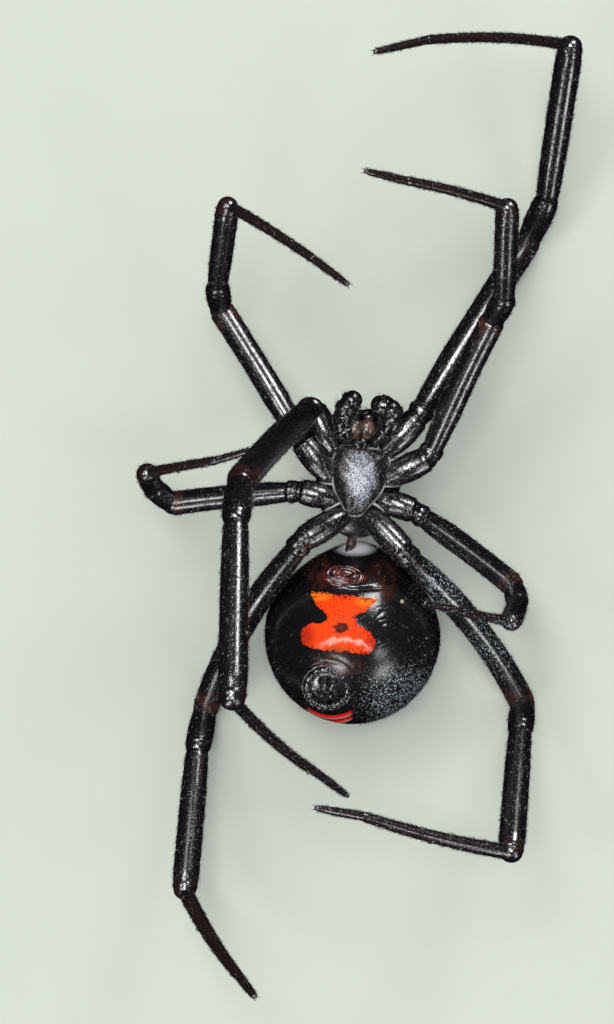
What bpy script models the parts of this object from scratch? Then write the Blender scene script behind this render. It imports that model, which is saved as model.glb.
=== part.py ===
"""Black widow spider, life size, resting on its back with its underside up.

+Y is the head end, +Z the side of the belly and +X the animal's own left. The origin is on the
floor, under the middle of the abdomen. Sizes are named in millimetres, and every mesh is scaled
to metres as it is finished. The legs, the mouthparts and the eyes are set out from the middle of
the sternum, in a frame that is turned a little against the abdomen.
"""

import math
from typing import NamedTuple

import bmesh
import bpy
from mathutils import Matrix, Vector

MM = 0.001

# Clearances between neighbouring pieces
GAP = 0.07
EYE_GAP = 0.025

# Round pieces: a bevel resolution of 3 gives 10 sides and one of 2 gives 8
BEVEL_RESOLUTION = 3
FINE_BEVEL_RESOLUTION = 2
DOME = ((0.0, 1.0), (0.6, 0.8), (0.93, 0.37))
WELD = 0.0001

# Abdomen: half sizes of an egg that is cut flat where it rests
ABDOMEN_LEVEL = 2.1
ABDOMEN_HALF_WIDTH = 2.74
ABDOMEN_FRONT = 2.85
ABDOMEN_REAR = 2.82
ABDOMEN_UP = 3.2
ABDOMEN_DOWN = 2.2
ABDOMEN_FRONT_TAPER = 0.25
ABDOMEN_FRONT_DROP = 0.1
MIDLINE = -0.5

# Epigynum, the raised plate on the front of the belly
EPIGYNUM_Y = 1.76
EPIGYNUM_HALF = (0.62, 0.36, 0.2)
EPIGYNUM_TILT = -30

# Spinnerets in their round collar
SPINNERET_SEAT = (-0.6, -1.64)
SPINNERET_LEAN = 24
COLLAR_RADIUS = 0.62
COLLAR_THICKNESS = 0.1
COLLAR_LIFT = 0.06
CUP_RADIUS = 0.55
CUP_DEPTH = 0.2
SPINNERET_BASE = 0.1
# Each pair of cones: place ahead of the middle and to the side, half thickness and length
SPINNERET_CONES = ((0.22, 0.17, 0.15, 0.46), (-0.02, 0.1, 0.08, 0.36), (-0.22, 0.2, 0.13, 0.42))
SPINNERET_TAPER = (1.0, 0.9, 0.5)
SPINNERET_LEAN_IN = 0.07

# Prosoma frame: the middle of the sternum seen from above, and its turn against the abdomen
STERNUM_PLACE = (-0.48, 4.81)
PROSOMA_TURN = 5

# Carapace, the shield of the back, with its front drawn out into the head
CARAPACE_LEVEL = 3.72
CARAPACE_HALF_WIDTH = 1.3
CARAPACE_FRONT = 2.1
CARAPACE_REAR = 1.4
CARAPACE_UP = 0.45
CARAPACE_DOWN = 0.78
NECK_PINCH = 0.16
HEAD_SPREAD = 0.3

# Sternum, the shield between the coxae
STERNUM_LEVEL = 4.64
STERNUM_HALF = (0.82, 0.36)
STERNUM_FRONT = 0.92
STERNUM_REAR = 1.2
STERNUM_POINT = 0.45

# Pedicel, the waist between the two halves of the body
PEDICEL_RADIUS = 0.25
PEDICEL_FROM = (0.0, -1.1, 3.72)
PEDICEL_TO = (-0.46, 2.3, 3.3)

# Mouthparts: two maxillae that close in front of the labium
MAXILLA_FROM = (0.27, 1.12, 4.58)
MAXILLA_TO = (0.14, 1.7, 4.66)
MAXILLA_RADII = (0.2, 0.26, 0.2)
LABIUM_FROM = (0.0, 1.1, 4.6)
LABIUM_TO = (0.0, 1.42, 4.7)
LABIUM_RADIUS = 0.24

# Chelicerae with the fang folded across the tip
CHELICERA_FROM = (0.25, 1.75, 3.95)
CHELICERA_TO = (0.2, 2.02, 4.7)
CHELICERA_RADII = (0.23, 0.24, 0.2)
FANG_POINTS = ((0.2, 2.05, 4.72), (0.14, 1.97, 4.92), (0.06, 1.88, 4.98))
FANG_RADII = (0.1, 0.08, 0.04)

# Palps, as points in the prosoma frame with the half thickness at each
PALP_RADII = (0.2, 0.23, 0.24, 0.27, 0.25)
PALPS = {
    "left": (
        (0.52, 1.2, 4.78),
        (0.92, 1.45, 4.98),
        (1.05, 1.8, 5.02),
        (0.93, 2.15, 4.98),
        (0.68, 2.28, 4.9),
    ),
    "right": (
        (-0.5, 1.2, 4.78),
        (-0.7, 1.5, 4.98),
        (-0.68, 1.95, 5.02),
        (-0.5, 2.3, 4.98),
        (-0.22, 2.42, 4.9),
    ),
}

# Eyes in two rows of four across the head: half size, place across the head in degrees, and
# height of the row above the edge of the carapace in degrees
EYE_ROWS = {
    "front": (-8, {"median": (0.085, 9), "side": (0.075, 27)}),
    "rear": (-30, {"median": (0.08, 11), "side": (0.075, 33)}),
}


class Pair(NamedTuple):
    """Sizes that the two legs of a pair share."""

    seat: tuple
    lengths: tuple
    radii: tuple
    femur_bow: float
    metatarsus_bow: float


# Lengths and half thicknesses run from coxa to tarsus. The seat is where the coxa starts.
PAIRS = {
    1: Pair(
        (0.83, 0.90),
        (1.35, 7.9, 1.7, 5.4, 6.2, 2.2),
        (0.40, 0.43, 0.42, 0.41, 0.25, 0.2),
        0.08,
        0.16,
    ),
    2: Pair(
        (0.95, 0.06),
        (1.30, 4.9, 1.35, 3.2, 3.7, 1.5),
        (0.39, 0.39, 0.38, 0.35, 0.25, 0.2),
        0.05,
        0.06,
    ),
    3: Pair(
        (0.84, -0.66),
        (0.95, 4.2, 1.15, 2.1, 2.7, 1.3),
        (0.37, 0.37, 0.35, 0.33, 0.25, 0.2),
        0.04,
        0.05,
    ),
    4: Pair(
        (0.46, -1.20),
        (1.45, 7.6, 1.5, 4.6, 5.0, 1.6),
        (0.39, 0.41, 0.42, 0.39, 0.25, 0.2),
        0.32,
        0.12,
    ),
}
COXA_LEVEL = 4.4
KNEE_REST = 0.36
TARSUS_TIP = 0.12

# The pose: azimuth and elevation in degrees from coxa to tarsus. A femur with no elevation
# reaches down until its knee rests on the floor.
POSES = {
    (1, "left"): ((54, 0), (65, None), (74, 43), (91, 34), (-167, 43), (-153, 42)),
    (2, "left"): ((34, 0), (73, 23), (72, 63), (98, 38), (177, 35), (179, 38)),
    (3, "left"): ((-12, 0), (-29, -23), (-74, 61), (-119, 74), (175, 44), (173, 51)),
    (4, "left"): ((-39, 12), (-44, None), (-95, 60), (-90, 39), (172, 20), (175, 27)),
    (1, "right"): ((125, 0), (-124, 67), (-88, 51), (-83, 25), (-39, -58), (-34, -55)),
    (2, "right"): ((135, 0), (129, -13), (105, 63), (88, 44), (-27, 34), (-31, 32)),
    (3, "right"): ((174, 0), (-167, -18), (145, 49), (105, 79), (17, 38), (23, 30)),
    (4, "right"): ((-142, 12), (-112, None), (-93, 39), (-87, 22), (-42, 58), (-32, 65)),
}

# Along each piece of a leg: fraction of its length, and share of its half thickness
PROFILES = {
    "coxa": ((0.0, 0.86), (0.4, 1.0), (0.8, 1.0), (1.0, 0.95)),
    "femur": ((0.0, 0.74), (0.07, 0.84), (0.25, 1.0), (0.5, 1.0), (0.75, 0.98), (1.0, 1.0)),
    "patella": ((0.0, 0.86), (0.45, 1.0), (1.0, 0.95)),
    "tibia": ((0.0, 0.88), (0.15, 0.96), (0.55, 1.0), (1.0, 1.0)),
}
FOOT_STEPS = 3

# Finishes: colour and roughness
FINISHES = {
    "black_cuticle": ((0.008, 0.007, 0.008), 0.2),
    "brown_cuticle": ((0.06, 0.02, 0.012), 0.3),
    "tarsus_cuticle": ((0.03, 0.014, 0.008), 0.35),
    "sternum_cuticle": ((0.12, 0.11, 0.1), 0.35),
    "eye_lens": ((0.02, 0.012, 0.01), 0.05),
}

PROSOMA = Matrix.Translation((*STERNUM_PLACE, 0.0)) @ Matrix.Rotation(
    math.radians(PROSOMA_TURN), 4, "Z"
)


def clear_scene():
    for thing in list(bpy.data.objects):
        bpy.data.objects.remove(thing, do_unlink=True)


def make_collection(name):
    collection = bpy.data.collections.new(name)
    bpy.context.scene.collection.children.link(collection)
    return collection


def make_materials():
    """One Principled material for each finish."""
    made = {}
    for name, (colour, roughness) in FINISHES.items():
        material = bpy.data.materials.new(name)
        material.use_nodes = True
        shader = material.node_tree.nodes["Principled BSDF"]
        shader.inputs["Base Color"].default_value = (*colour, 1.0)
        shader.inputs["Roughness"].default_value = roughness
        made[name] = material
    return made


def side_of(name):
    """+1 for the animal's left, which is +X, and -1 for its right."""
    return 1 if name == "left" else -1


def mirrored(point, sign):
    return Vector((point[0] * sign, point[1], point[2]))


def direction(azimuth, elevation):
    around, up = math.radians(azimuth), math.radians(elevation)
    flat = math.cos(up)
    return Vector((math.cos(around) * flat, math.sin(around) * flat, math.sin(up)))


def mesh_object(name, mesh):
    thing = bpy.data.objects.new(name, mesh)
    workshop.objects.link(thing)
    return thing


def evaluated_mesh(thing):
    bpy.context.view_layer.update()
    graph = bpy.context.evaluated_depsgraph_get()
    return bpy.data.meshes.new_from_object(thing.evaluated_get(graph))


def tube(points, radii, grow=0.0, resolution=BEVEL_RESOLUTION):
    """A closed round limb along the points, made from a bevelled curve with its caps welded on."""
    curve = bpy.data.curves.new("limb", "CURVE")
    curve.dimensions = "3D"
    curve.bevel_depth = 1.0
    curve.bevel_resolution = resolution
    curve.use_fill_caps = True
    spline = curve.splines.new("POLY")
    spline.points.add(len(points) - 1)
    for knot, point, radius in zip(spline.points, points, radii):
        knot.co = (*point, 1.0)
        knot.radius = radius + grow
    drawn = bpy.data.objects.new("limb", curve)
    workshop.objects.link(drawn)
    mesh = evaluated_mesh(drawn)
    bpy.data.objects.remove(drawn)
    weld(mesh)
    return mesh_object("limb", mesh)


def weld(mesh):
    """Joins loose caps to their walls and turns every face outwards."""
    cage = bmesh.new()
    cage.from_mesh(mesh)
    bmesh.ops.remove_doubles(cage, verts=cage.verts, dist=WELD)
    bmesh.ops.recalc_face_normals(cage, faces=cage.faces)
    cage.to_mesh(mesh)
    cage.free()


def domed(points, radii, start_dome=False, grow=0.0):
    """The points and radii of a limb with a round end, and with a round start if asked."""
    points = [Vector(point) for point in points]
    radii = [radius + grow for radius in radii]
    ahead = (points[-1] - points[-2]).normalized()
    end, end_radius = points[-1], radii[-1]
    points = points[:-1] + [end + ahead * (end_radius * along) for along, _ in DOME]
    radii = radii[:-1] + [end_radius * share for _, share in DOME]
    if start_dome:
        back = (points[0] - points[1]).normalized()
        start, start_radius = points[0], radii[0]
        points = [start + back * (start_radius * along) for along, _ in reversed(DOME)] + points[1:]
        radii = [start_radius * share for _, share in reversed(DOME)] + radii[1:]
    return points, radii


def limb(points, radii, start_dome=False, grow=0.0, resolution=BEVEL_RESOLUTION):
    return tube(*domed(points, radii, start_dome, grow), resolution=resolution)


def ball(centre, halves, segments, rings, turn=None):
    """A closed ellipsoid from its half sizes."""
    cage = bmesh.new()
    bmesh.ops.create_uvsphere(cage, u_segments=segments, v_segments=rings, radius=1.0)
    cage.transform(Matrix.Diagonal((*halves, 1.0)))
    if turn:
        cage.transform(turn)
    cage.transform(Matrix.Translation(centre))
    mesh = bpy.data.meshes.new("ball")
    cage.to_mesh(mesh)
    cage.free()
    return mesh_object("ball", mesh)


def disc(centre, axis, radius, depth, segments=20):
    """A closed cylinder about an axis through its centre."""
    cage = bmesh.new()
    bmesh.ops.create_cone(
        cage, cap_ends=True, segments=segments, radius1=radius, radius2=radius, depth=depth
    )
    turn = axis.to_track_quat("Z", "Y").to_matrix().to_4x4()
    cage.transform(Matrix.Translation(centre) @ turn)
    mesh = bpy.data.meshes.new("disc")
    cage.to_mesh(mesh)
    cage.free()
    return mesh_object("disc", mesh)


def keep_largest(mesh):
    """Keeps the closed surface with most faces, so no scrap of a cut is left over."""
    cage = bmesh.new()
    cage.from_mesh(mesh)
    waiting, islands = set(cage.faces), []
    while waiting:
        queue, island = [waiting.pop()], []
        while queue:
            face = queue.pop()
            island.append(face)
            for edge in face.edges:
                for other in edge.link_faces:
                    if other in waiting:
                        waiting.remove(other)
                        queue.append(other)
        islands.append(island)
    islands.sort(key=len, reverse=True)
    scraps = [face for island in islands[1:] for face in island]
    if scraps:
        bmesh.ops.delete(cage, geom=scraps, context="FACES")
    cage.to_mesh(mesh)
    cage.free()


def boolean(target, tool, operation):
    """Applies one Boolean to the target and removes the tool."""
    modifier = target.modifiers.new("boolean", "BOOLEAN")
    modifier.operation = operation
    modifier.object = tool
    mesh = evaluated_mesh(target)
    target.modifiers.clear()
    target.data = mesh
    bpy.data.objects.remove(tool)
    keep_largest(mesh)
    return target


def fuse(target, *others):
    for other in others:
        boolean(target, other, "UNION")
    return target


def carve(target, *tools):
    for tool in tools:
        boolean(target, tool, "DIFFERENCE")
    return target


def rest_flat(thing):
    """Cuts off what would reach below the floor and closes the cut with a flat face."""
    cage = bmesh.new()
    cage.from_mesh(thing.data)
    geometry = cage.verts[:] + cage.edges[:] + cage.faces[:]
    cut = bmesh.ops.bisect_plane(
        cage, geom=geometry, dist=WELD, plane_co=(0, 0, 0), plane_no=(0, 0, 1), clear_inner=True
    )
    rim = [item for item in cut["geom_cut"] if isinstance(item, bmesh.types.BMEdge)]
    if rim:
        bmesh.ops.edgeloop_fill(cage, edges=rim)
    cage.to_mesh(thing.data)
    cage.free()
    return thing


def finish(thing, name, finish_name, smooth_angle=40):
    """Names the piece, scales it to metres, shades it and moves it to the model's collection."""
    thing.name = name
    mesh = thing.data
    mesh.name = name
    mesh.transform(Matrix.Scale(MM, 4))
    mesh.materials.clear()
    mesh.materials.append(materials[finish_name])
    mesh.shade_smooth()
    mesh.set_sharp_from_angle(angle=math.radians(smooth_angle))
    workshop.objects.unlink(thing)
    spider.objects.link(thing)
    return thing


def egg(centre, segments, rings, shape, grow=0.0):
    """A closed surface whose points are a unit ball's, each moved by the shape function."""
    cage = bmesh.new()
    bmesh.ops.create_uvsphere(cage, u_segments=segments, v_segments=rings, radius=1.0)
    for vertex in cage.verts:
        vertex.co = Vector(centre) + shape(vertex.co, grow)
    mesh = bpy.data.meshes.new("egg")
    cage.to_mesh(mesh)
    cage.free()
    return mesh_object("egg", mesh)


def abdomen_shape(unit, grow):
    """Widest low down, fuller behind than in front, and a little lower towards the front."""
    ahead = max(unit.y, 0.0) ** 2
    across = (ABDOMEN_HALF_WIDTH + grow) * (1 - ABDOMEN_FRONT_TAPER * ahead)
    along = ABDOMEN_FRONT if unit.y > 0 else ABDOMEN_REAR
    if unit.z > 0:
        up = (ABDOMEN_UP + grow) * (1 - ABDOMEN_FRONT_DROP * ahead)
    else:
        up = ABDOMEN_DOWN + grow
    return Vector((unit.x * across, unit.y * (along + grow), unit.z * up))


def belly(x, y):
    """The point of the belly over a place on the floor."""
    share = y / (ABDOMEN_FRONT if y > 0 else ABDOMEN_REAR)
    ahead = max(share, 0.0) ** 2
    across = x / (ABDOMEN_HALF_WIDTH * (1 - ABDOMEN_FRONT_TAPER * ahead))
    height = math.sqrt(max(1 - share * share - across * across, 0.0))
    return Vector((x, y, ABDOMEN_LEVEL + ABDOMEN_UP * (1 - ABDOMEN_FRONT_DROP * ahead) * height))


def abdomen_solid(grow=0.0):
    return egg((0, 0, ABDOMEN_LEVEL), 30, 20, abdomen_shape, grow)


def carapace_shape(unit, grow):
    """A flat dome of the back, pinched at the neck and spread again at the head."""
    ahead = max(unit.y, 0.0)
    pinch = 1 - NECK_PINCH * math.sin(math.pi * ahead) + HEAD_SPREAD * ahead**3
    along = CARAPACE_FRONT if unit.y > 0 else CARAPACE_REAR
    up = CARAPACE_UP if unit.z > 0 else CARAPACE_DOWN
    return Vector(
        (
            unit.x * (CARAPACE_HALF_WIDTH * pinch + grow),
            unit.y * (along + grow),
            unit.z * (up + grow),
        )
    )


def sternum_shape(unit, grow):
    """A shield: broad in front and drawn to a point behind."""
    behind = max(-unit.y, 0.0)
    along = STERNUM_FRONT if unit.y > 0 else STERNUM_REAR
    across = STERNUM_HALF[0] * (1 - STERNUM_POINT * behind) + grow
    return Vector((unit.x * across, unit.y * (along + grow), unit.z * (STERNUM_HALF[1] + grow)))


def carapace_solid(grow=0.0):
    solid = egg((0, 0, CARAPACE_LEVEL), 26, 14, carapace_shape, grow)
    solid.data.transform(PROSOMA)
    return solid


def sternum_solid(grow=0.0):
    solid = egg((0, 0, STERNUM_LEVEL), 22, 12, sternum_shape, grow)
    solid.data.transform(PROSOMA)
    return solid


def spinneret_axis():
    lean = math.radians(SPINNERET_LEAN)
    return Vector((0.0, -math.sin(lean), math.cos(lean)))


def make_collar(centre, axis):
    bpy.ops.mesh.primitive_torus_add(
        major_segments=24,
        minor_segments=6,
        major_radius=COLLAR_RADIUS,
        minor_radius=COLLAR_THICKNESS,
    )
    collar = bpy.context.object
    turn = axis.to_track_quat("Z", "Y").to_matrix().to_4x4()
    collar.data.transform(Matrix.Translation(centre) @ turn)
    return collar


def make_abdomen():
    """The abdomen with its epigynum, the spinnerets' collar and the cup inside it."""
    solid = abdomen_solid()
    plate = belly(MIDLINE, EPIGYNUM_Y)
    tilt = Matrix.Rotation(math.radians(EPIGYNUM_TILT), 4, "X")
    epigynum = ball(plate, EPIGYNUM_HALF, 14, 8, tilt)
    axis = spinneret_axis()
    seat = belly(*SPINNERET_SEAT) + axis * COLLAR_LIFT
    fuse(solid, epigynum, make_collar(seat, axis))
    carve(solid, disc(seat, axis, CUP_RADIUS, 2 * CUP_DEPTH))
    rest_flat(solid)
    return finish(solid, "abdomen", "black_cuticle")


def make_spinnerets():
    """Six short cones on a disc that sits in the collar's cup."""
    axis = spinneret_axis()
    floor = belly(*SPINNERET_SEAT) + axis * (COLLAR_LIFT - CUP_DEPTH + GAP)
    base = disc(floor + axis * SPINNERET_BASE / 2, axis, CUP_RADIUS - GAP, SPINNERET_BASE)
    forward = axis.cross(Vector((1.0, 0.0, 0.0))).normalized()
    cones = []
    for ahead, across, radius, length in SPINNERET_CONES:
        for sign in (-1, 1):
            foot = floor + forward * ahead + Vector((across * sign, 0, 0)) + axis * 0.04
            lean_in = Vector((SPINNERET_LEAN_IN * sign, 0, 0)) + forward * (0.4 * ahead)
            tip = foot + axis * length - lean_in
            radii = [radius * share for share in SPINNERET_TAPER]
            points = (foot, foot.lerp(tip, 0.7), tip)
            cones.append(limb(points, radii, resolution=FINE_BEVEL_RESOLUTION))
    fuse(base, *cones)
    return finish(base, "spinnerets", "brown_cuticle")


def make_eyes(carapace):
    """Eight round eyes, each half sunk in a pit of the head."""
    for row, (height, places) in EYE_ROWS.items():
        for place, (radius, across) in places.items():
            for side in ("left", "right"):
                turn = math.radians(90 - across * side_of(side))
                up = math.radians(height)
                unit = Vector(
                    (math.cos(turn) * math.cos(up), math.sin(turn) * math.cos(up), math.sin(up))
                )
                centre = PROSOMA @ (Vector((0, 0, CARAPACE_LEVEL)) + carapace_shape(unit, 0.0))
                pit = radius + EYE_GAP
                carve(carapace, ball(centre, (pit,) * 3, 8, 6))
                eye = ball(centre, (radius,) * 3, 10, 6)
                finish(eye, f"eye_{row}_{place}_{side}", "eye_lens")


def make_body():
    make_abdomen()
    make_spinnerets()
    carapace = carapace_solid()
    make_eyes(carapace)
    finish(carapace, "carapace", "black_cuticle")
    sternum = carve(sternum_solid(), carapace_solid(GAP))
    finish(sternum, "sternum", "sternum_cuticle")
    ends = (PROSOMA @ Vector(PEDICEL_FROM), Vector(PEDICEL_TO))
    waist = tube(ends, (PEDICEL_RADIUS, PEDICEL_RADIUS))
    carve(waist, carapace_solid(GAP), sternum_solid(GAP), abdomen_solid(GAP))
    finish(waist, "pedicel", "brown_cuticle")


def placed(points, sign=1):
    return [PROSOMA @ mirrored(point, sign) for point in points]


def mouthparts_solid(grow=0.0):
    middle = tuple((a + b) / 2 for a, b in zip(MAXILLA_FROM, MAXILLA_TO))
    lobes = [
        limb(placed((MAXILLA_FROM, middle, MAXILLA_TO), sign), MAXILLA_RADII, True, grow)
        for sign in (1, -1)
    ]
    lip = limb(placed((LABIUM_FROM, LABIUM_TO)), (LABIUM_RADIUS, LABIUM_RADIUS), True, grow)
    return fuse(lobes[0], lobes[1], lip)


def chelicera_solid(sign, grow=0.0):
    middle = tuple((a + b) / 2 for a, b in zip(CHELICERA_FROM, CHELICERA_TO))
    points = placed((CHELICERA_FROM, middle, CHELICERA_TO), sign)
    solid = limb(points, CHELICERA_RADII, True, grow)
    fang = limb(placed(FANG_POINTS, sign), FANG_RADII, True, grow, resolution=2)
    return fuse(solid, fang)


def halfway_cutter(sign):
    """A block that covers the far side of the head's midline, less half a gap."""
    cage = bmesh.new()
    bmesh.ops.create_cube(cage, size=2.0)
    cage.transform(Matrix.Translation((-sign * (1.0 - GAP / 2), 1.9, 4.4)))
    cage.transform(PROSOMA)
    mesh = bpy.data.meshes.new("halfway")
    cage.to_mesh(mesh)
    cage.free()
    return mesh_object("halfway", mesh)


def make_mouth():
    mouthparts = carve(mouthparts_solid(), carapace_solid(GAP), sternum_solid(GAP))
    finish(mouthparts, "mouthparts", "brown_cuticle")
    for side in ("left", "right"):
        sign = side_of(side)
        chelicera = chelicera_solid(sign)
        carve(chelicera, halfway_cutter(sign), carapace_solid(GAP), mouthparts_solid(GAP))
        finish(chelicera, f"chelicera_{side}", "black_cuticle")
        palp = limb(placed(PALPS[side]), PALP_RADII)
        carve(palp, mouthparts_solid(GAP), chelicera_solid(sign, GAP))
        finish(palp, f"palp_{side}", "black_cuticle")


def bowed(start, end, fractions, bow, away_from):
    """Points between two joints, pushed sideways from a place by an arc of height bow."""
    along = (end - start).normalized()
    push = (start + end) / 2 - away_from
    push = (push - along * push.dot(along)).normalized()
    return [start.lerp(end, s) + push * (4 * bow * s * (1 - s)) for s in fractions]


def leg_chain(number, side):
    """The joints of a leg from the seat of its coxa to the tip of its tarsus."""
    pair = PAIRS[number]
    across, along = pair.seat
    joints = [PROSOMA @ Vector((across * side_of(side), along, COXA_LEVEL))]
    for length, (azimuth, elevation) in zip(pair.lengths, POSES[number, side]):
        if elevation is None:
            drop = joints[-1].z - KNEE_REST
            elevation = -math.degrees(math.asin(drop / length))
        joints.append(joints[-1] + direction(azimuth, elevation) * length)
    return joints


def make_leg(number, side):
    """Coxa, femur, patella, tibia and foot, each hollowed where the round end before it sits."""
    pair = PAIRS[number]
    joints = leg_chain(number, side)
    centre = Vector((0.0, 0.0, ABDOMEN_LEVEL))
    name = f"leg_{number}_{side}"
    before = None
    for index, part in enumerate(PROFILES):
        bow = pair.femur_bow if part == "femur" else 0.0
        fractions = [fraction for fraction, _ in PROFILES[part]]
        points = bowed(joints[index], joints[index + 1], fractions, bow, centre)
        radii = [pair.radii[index] * share for _, share in PROFILES[part]]
        piece = limb(points, radii)
        if before is None:
            carve(piece, carapace_solid(GAP), sternum_solid(GAP))
        else:
            carve(piece, limb(*before, grow=GAP))
        if joints[index + 1].z < 1.0 or joints[index].z < 1.0:
            rest_flat(piece)
        finish(piece, f"{name}_{part}", "black_cuticle")
        before = (points, radii)
    make_foot(name, pair, joints, before)


def make_foot(name, pair, joints, before):
    """Metatarsus and tarsus in one tapering piece."""
    thick, thin = pair.radii[4], pair.radii[5]
    fractions = [step / FOOT_STEPS for step in range(FOOT_STEPS + 1)]
    upper = bowed(joints[4], joints[5], fractions, pair.metatarsus_bow, joints[3])
    lower = [joints[5].lerp(joints[6], 0.5), joints[6]]
    radii = [thick + (thin - thick) * fraction for fraction in fractions]
    foot = limb(upper + lower, radii + [thin * 0.92, TARSUS_TIP], resolution=FINE_BEVEL_RESOLUTION)
    carve(foot, limb(*before, grow=GAP))
    finish(foot, f"{name}_tarsus", "tarsus_cuticle")


def main():
    make_body()
    make_mouth()
    for number in PAIRS:
        for side in ("left", "right"):
            make_leg(number, side)
    bpy.data.collections.remove(workshop)


clear_scene()
workshop = make_collection("workshop")
spider = make_collection("black_widow_spider")
materials = make_materials()
main()
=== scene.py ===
"""Looks of the black widow spider: skins, markings, hairs, claws, eyes and light.

The animal lies on its back. +Y is the head end, +Z the side of the belly and +X its own left.
Sizes are in millimetres, and every mesh is scaled to metres as it is made.
"""

from __future__ import annotations

import logging
import math
from collections.abc import Callable, Sequence
from dataclasses import dataclass, field, replace
from enum import Enum
from functools import reduce

import bpy
import numpy as np
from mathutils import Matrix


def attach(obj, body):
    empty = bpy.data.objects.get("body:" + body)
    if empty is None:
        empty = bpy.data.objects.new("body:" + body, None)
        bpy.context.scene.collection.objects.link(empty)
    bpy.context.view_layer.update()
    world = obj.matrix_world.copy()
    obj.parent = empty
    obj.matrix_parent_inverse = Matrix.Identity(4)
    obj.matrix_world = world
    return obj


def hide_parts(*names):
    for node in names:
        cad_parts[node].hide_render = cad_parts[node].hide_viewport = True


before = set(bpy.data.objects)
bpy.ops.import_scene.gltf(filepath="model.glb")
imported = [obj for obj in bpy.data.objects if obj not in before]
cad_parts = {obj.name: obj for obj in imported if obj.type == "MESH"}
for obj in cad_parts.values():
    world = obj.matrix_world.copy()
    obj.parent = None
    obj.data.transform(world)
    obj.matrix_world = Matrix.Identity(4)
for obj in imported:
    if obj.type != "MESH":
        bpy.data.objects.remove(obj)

Array = np.ndarray
Finish = bpy.types.Material
Pair = tuple[float, float]
Triple = tuple[float, float, float]
Form = tuple[Pair, ...]

MM = 0.001
UP = np.array((0.013, 0.007, 1.0))
ACROSS = np.array((1.0, 0.0, 0.0))
PLACES_ON_MAP = 8
MAP_MARGIN = 0.002
CAP_ROWS = 7
LEAN_SCATTER = 9.0
STEM_SCATTER = 0.12
HAIR_LENGTHS = (0.65, 1.25)
CUTICLE_IOR = 1.78
CHART_CENTRE = (-0.46, 0.466)
CHART_TURN = 7.5
COXA_LEVEL = 4.4
KNEE_REST = 0.36
log = logging.getLogger("black_widow")


class Side(Enum):
    """The animal's own sides. The value is the sign of X."""

    LEFT = 1
    RIGHT = -1

    @property
    def word(self) -> str:
        """The side's name as the solids have it."""
        return self.name.lower()


class Part(Enum):
    """The lengths of a leg. The value is the part's place along the map of a leg's skin."""

    COXA = 0
    TROCHANTER = 1
    FEMUR = 2
    PATELLA = 3
    TIBIA = 4
    METATARSUS = 5
    TARSUS = 6


# Shapes


def unit(vectors: Array) -> Array:
    """Vectors divided by their lengths."""
    return vectors / np.linalg.norm(vectors, axis=-1, keepdims=True)


def smooth(low: float, high: float, value: Array) -> Array:
    """0 below low, 1 above high, and 3t² - 2t³ between them."""
    share = np.clip((value - low) / (high - low), 0.0, 1.0)
    return share * share * (3.0 - 2.0 * share)


def hill(value: Array, centre: float, width: float) -> Array:
    """A bell of height 1: e to the minus square of the distance from its centre over its width."""
    return np.exp(-(((value - centre) / width) ** 2))


def square_to(direction: Array, along: Array) -> Array:
    """The part of a direction that is square to another, as a unit vector."""
    return unit(direction - along * (direction * along).sum(-1, keepdims=True))


def turns(count: int) -> Array:
    """Equal turns round a circle, from 0."""
    return np.arange(count) * (2 * np.pi / count)


def turned(x: Array, y: Array, degrees: float) -> tuple[Array, Array]:
    """Coordinates turned anticlockwise: x·cos - y·sin and x·sin + y·cos."""
    cos, sin = math.cos(math.radians(degrees)), math.sin(math.radians(degrees))
    return cos * x - sin * y, sin * x + cos * y


def aimed(azimuth: float, elevation: float) -> Array:
    """The unit direction at an azimuth and an elevation, both in radians."""
    flat = math.cos(elevation)
    return np.array((math.cos(azimuth) * flat, math.sin(azimuth) * flat, math.sin(elevation)))


def on_chart(points: Array) -> tuple[Array, Array]:
    """Places across and along the belly's chart, which is turned about its centre."""
    across, along = points[..., 0] - CHART_CENTRE[0], points[..., 1] - CHART_CENTRE[1]
    return turned(across, along, -CHART_TURN)


def ball_grid(rows: int, columns: int, crowding: float = 0.0) -> tuple[Array, Array]:
    """A unit ball: the cosine of the height times a circle, and the sine of the height.

    Args:
        rows: rows from its lowest point to its highest.
        columns: points in each row.
        crowding: how much closer together the upper rows are, by a sine.

    Returns:
        The grid, and the rows' heights on the map.
    """
    share = np.linspace(0.0, 1.0, rows)
    share = np.clip(share + crowding * np.sin(np.pi * share), 0.0, 1.0)
    turn, height = turns(columns), np.pi * (share[:, None] - 0.5)
    flat, up = np.cos(height), np.broadcast_to(np.sin(height), (rows, columns))
    return np.stack((flat * np.cos(turn), flat * np.sin(turn), up), -1), share


def ball_places(ball: Array) -> Array:
    """The places of a unit ball's points on its map: turn and height over their ranges."""
    turn = np.arctan2(ball[:, 1], ball[:, 0]) / (2 * np.pi) % 1.0
    return np.stack((turn, np.arcsin(ball[:, 2]) / np.pi + 0.5), -1)


def show(name: str, data: bpy.types.ID) -> bpy.types.Object:
    """Makes an object of a mesh, a light or a camera, and puts it in the scene."""
    thing = bpy.data.objects.new(name, data)
    bpy.context.scene.collection.objects.link(thing)
    return thing


@dataclass
class Hairs:
    """Many small bent hairs, one row for each.

    Roots, stems (unit directions out of the skin), lies (unit directions that the tips bend to),
    lengths, the roots' places on the skin's unwrap, and the half thickness of all.
    """

    roots: Array
    stems: Array
    lies: Array
    lengths: Array
    places: Array
    thick: float = 0.0065


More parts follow.
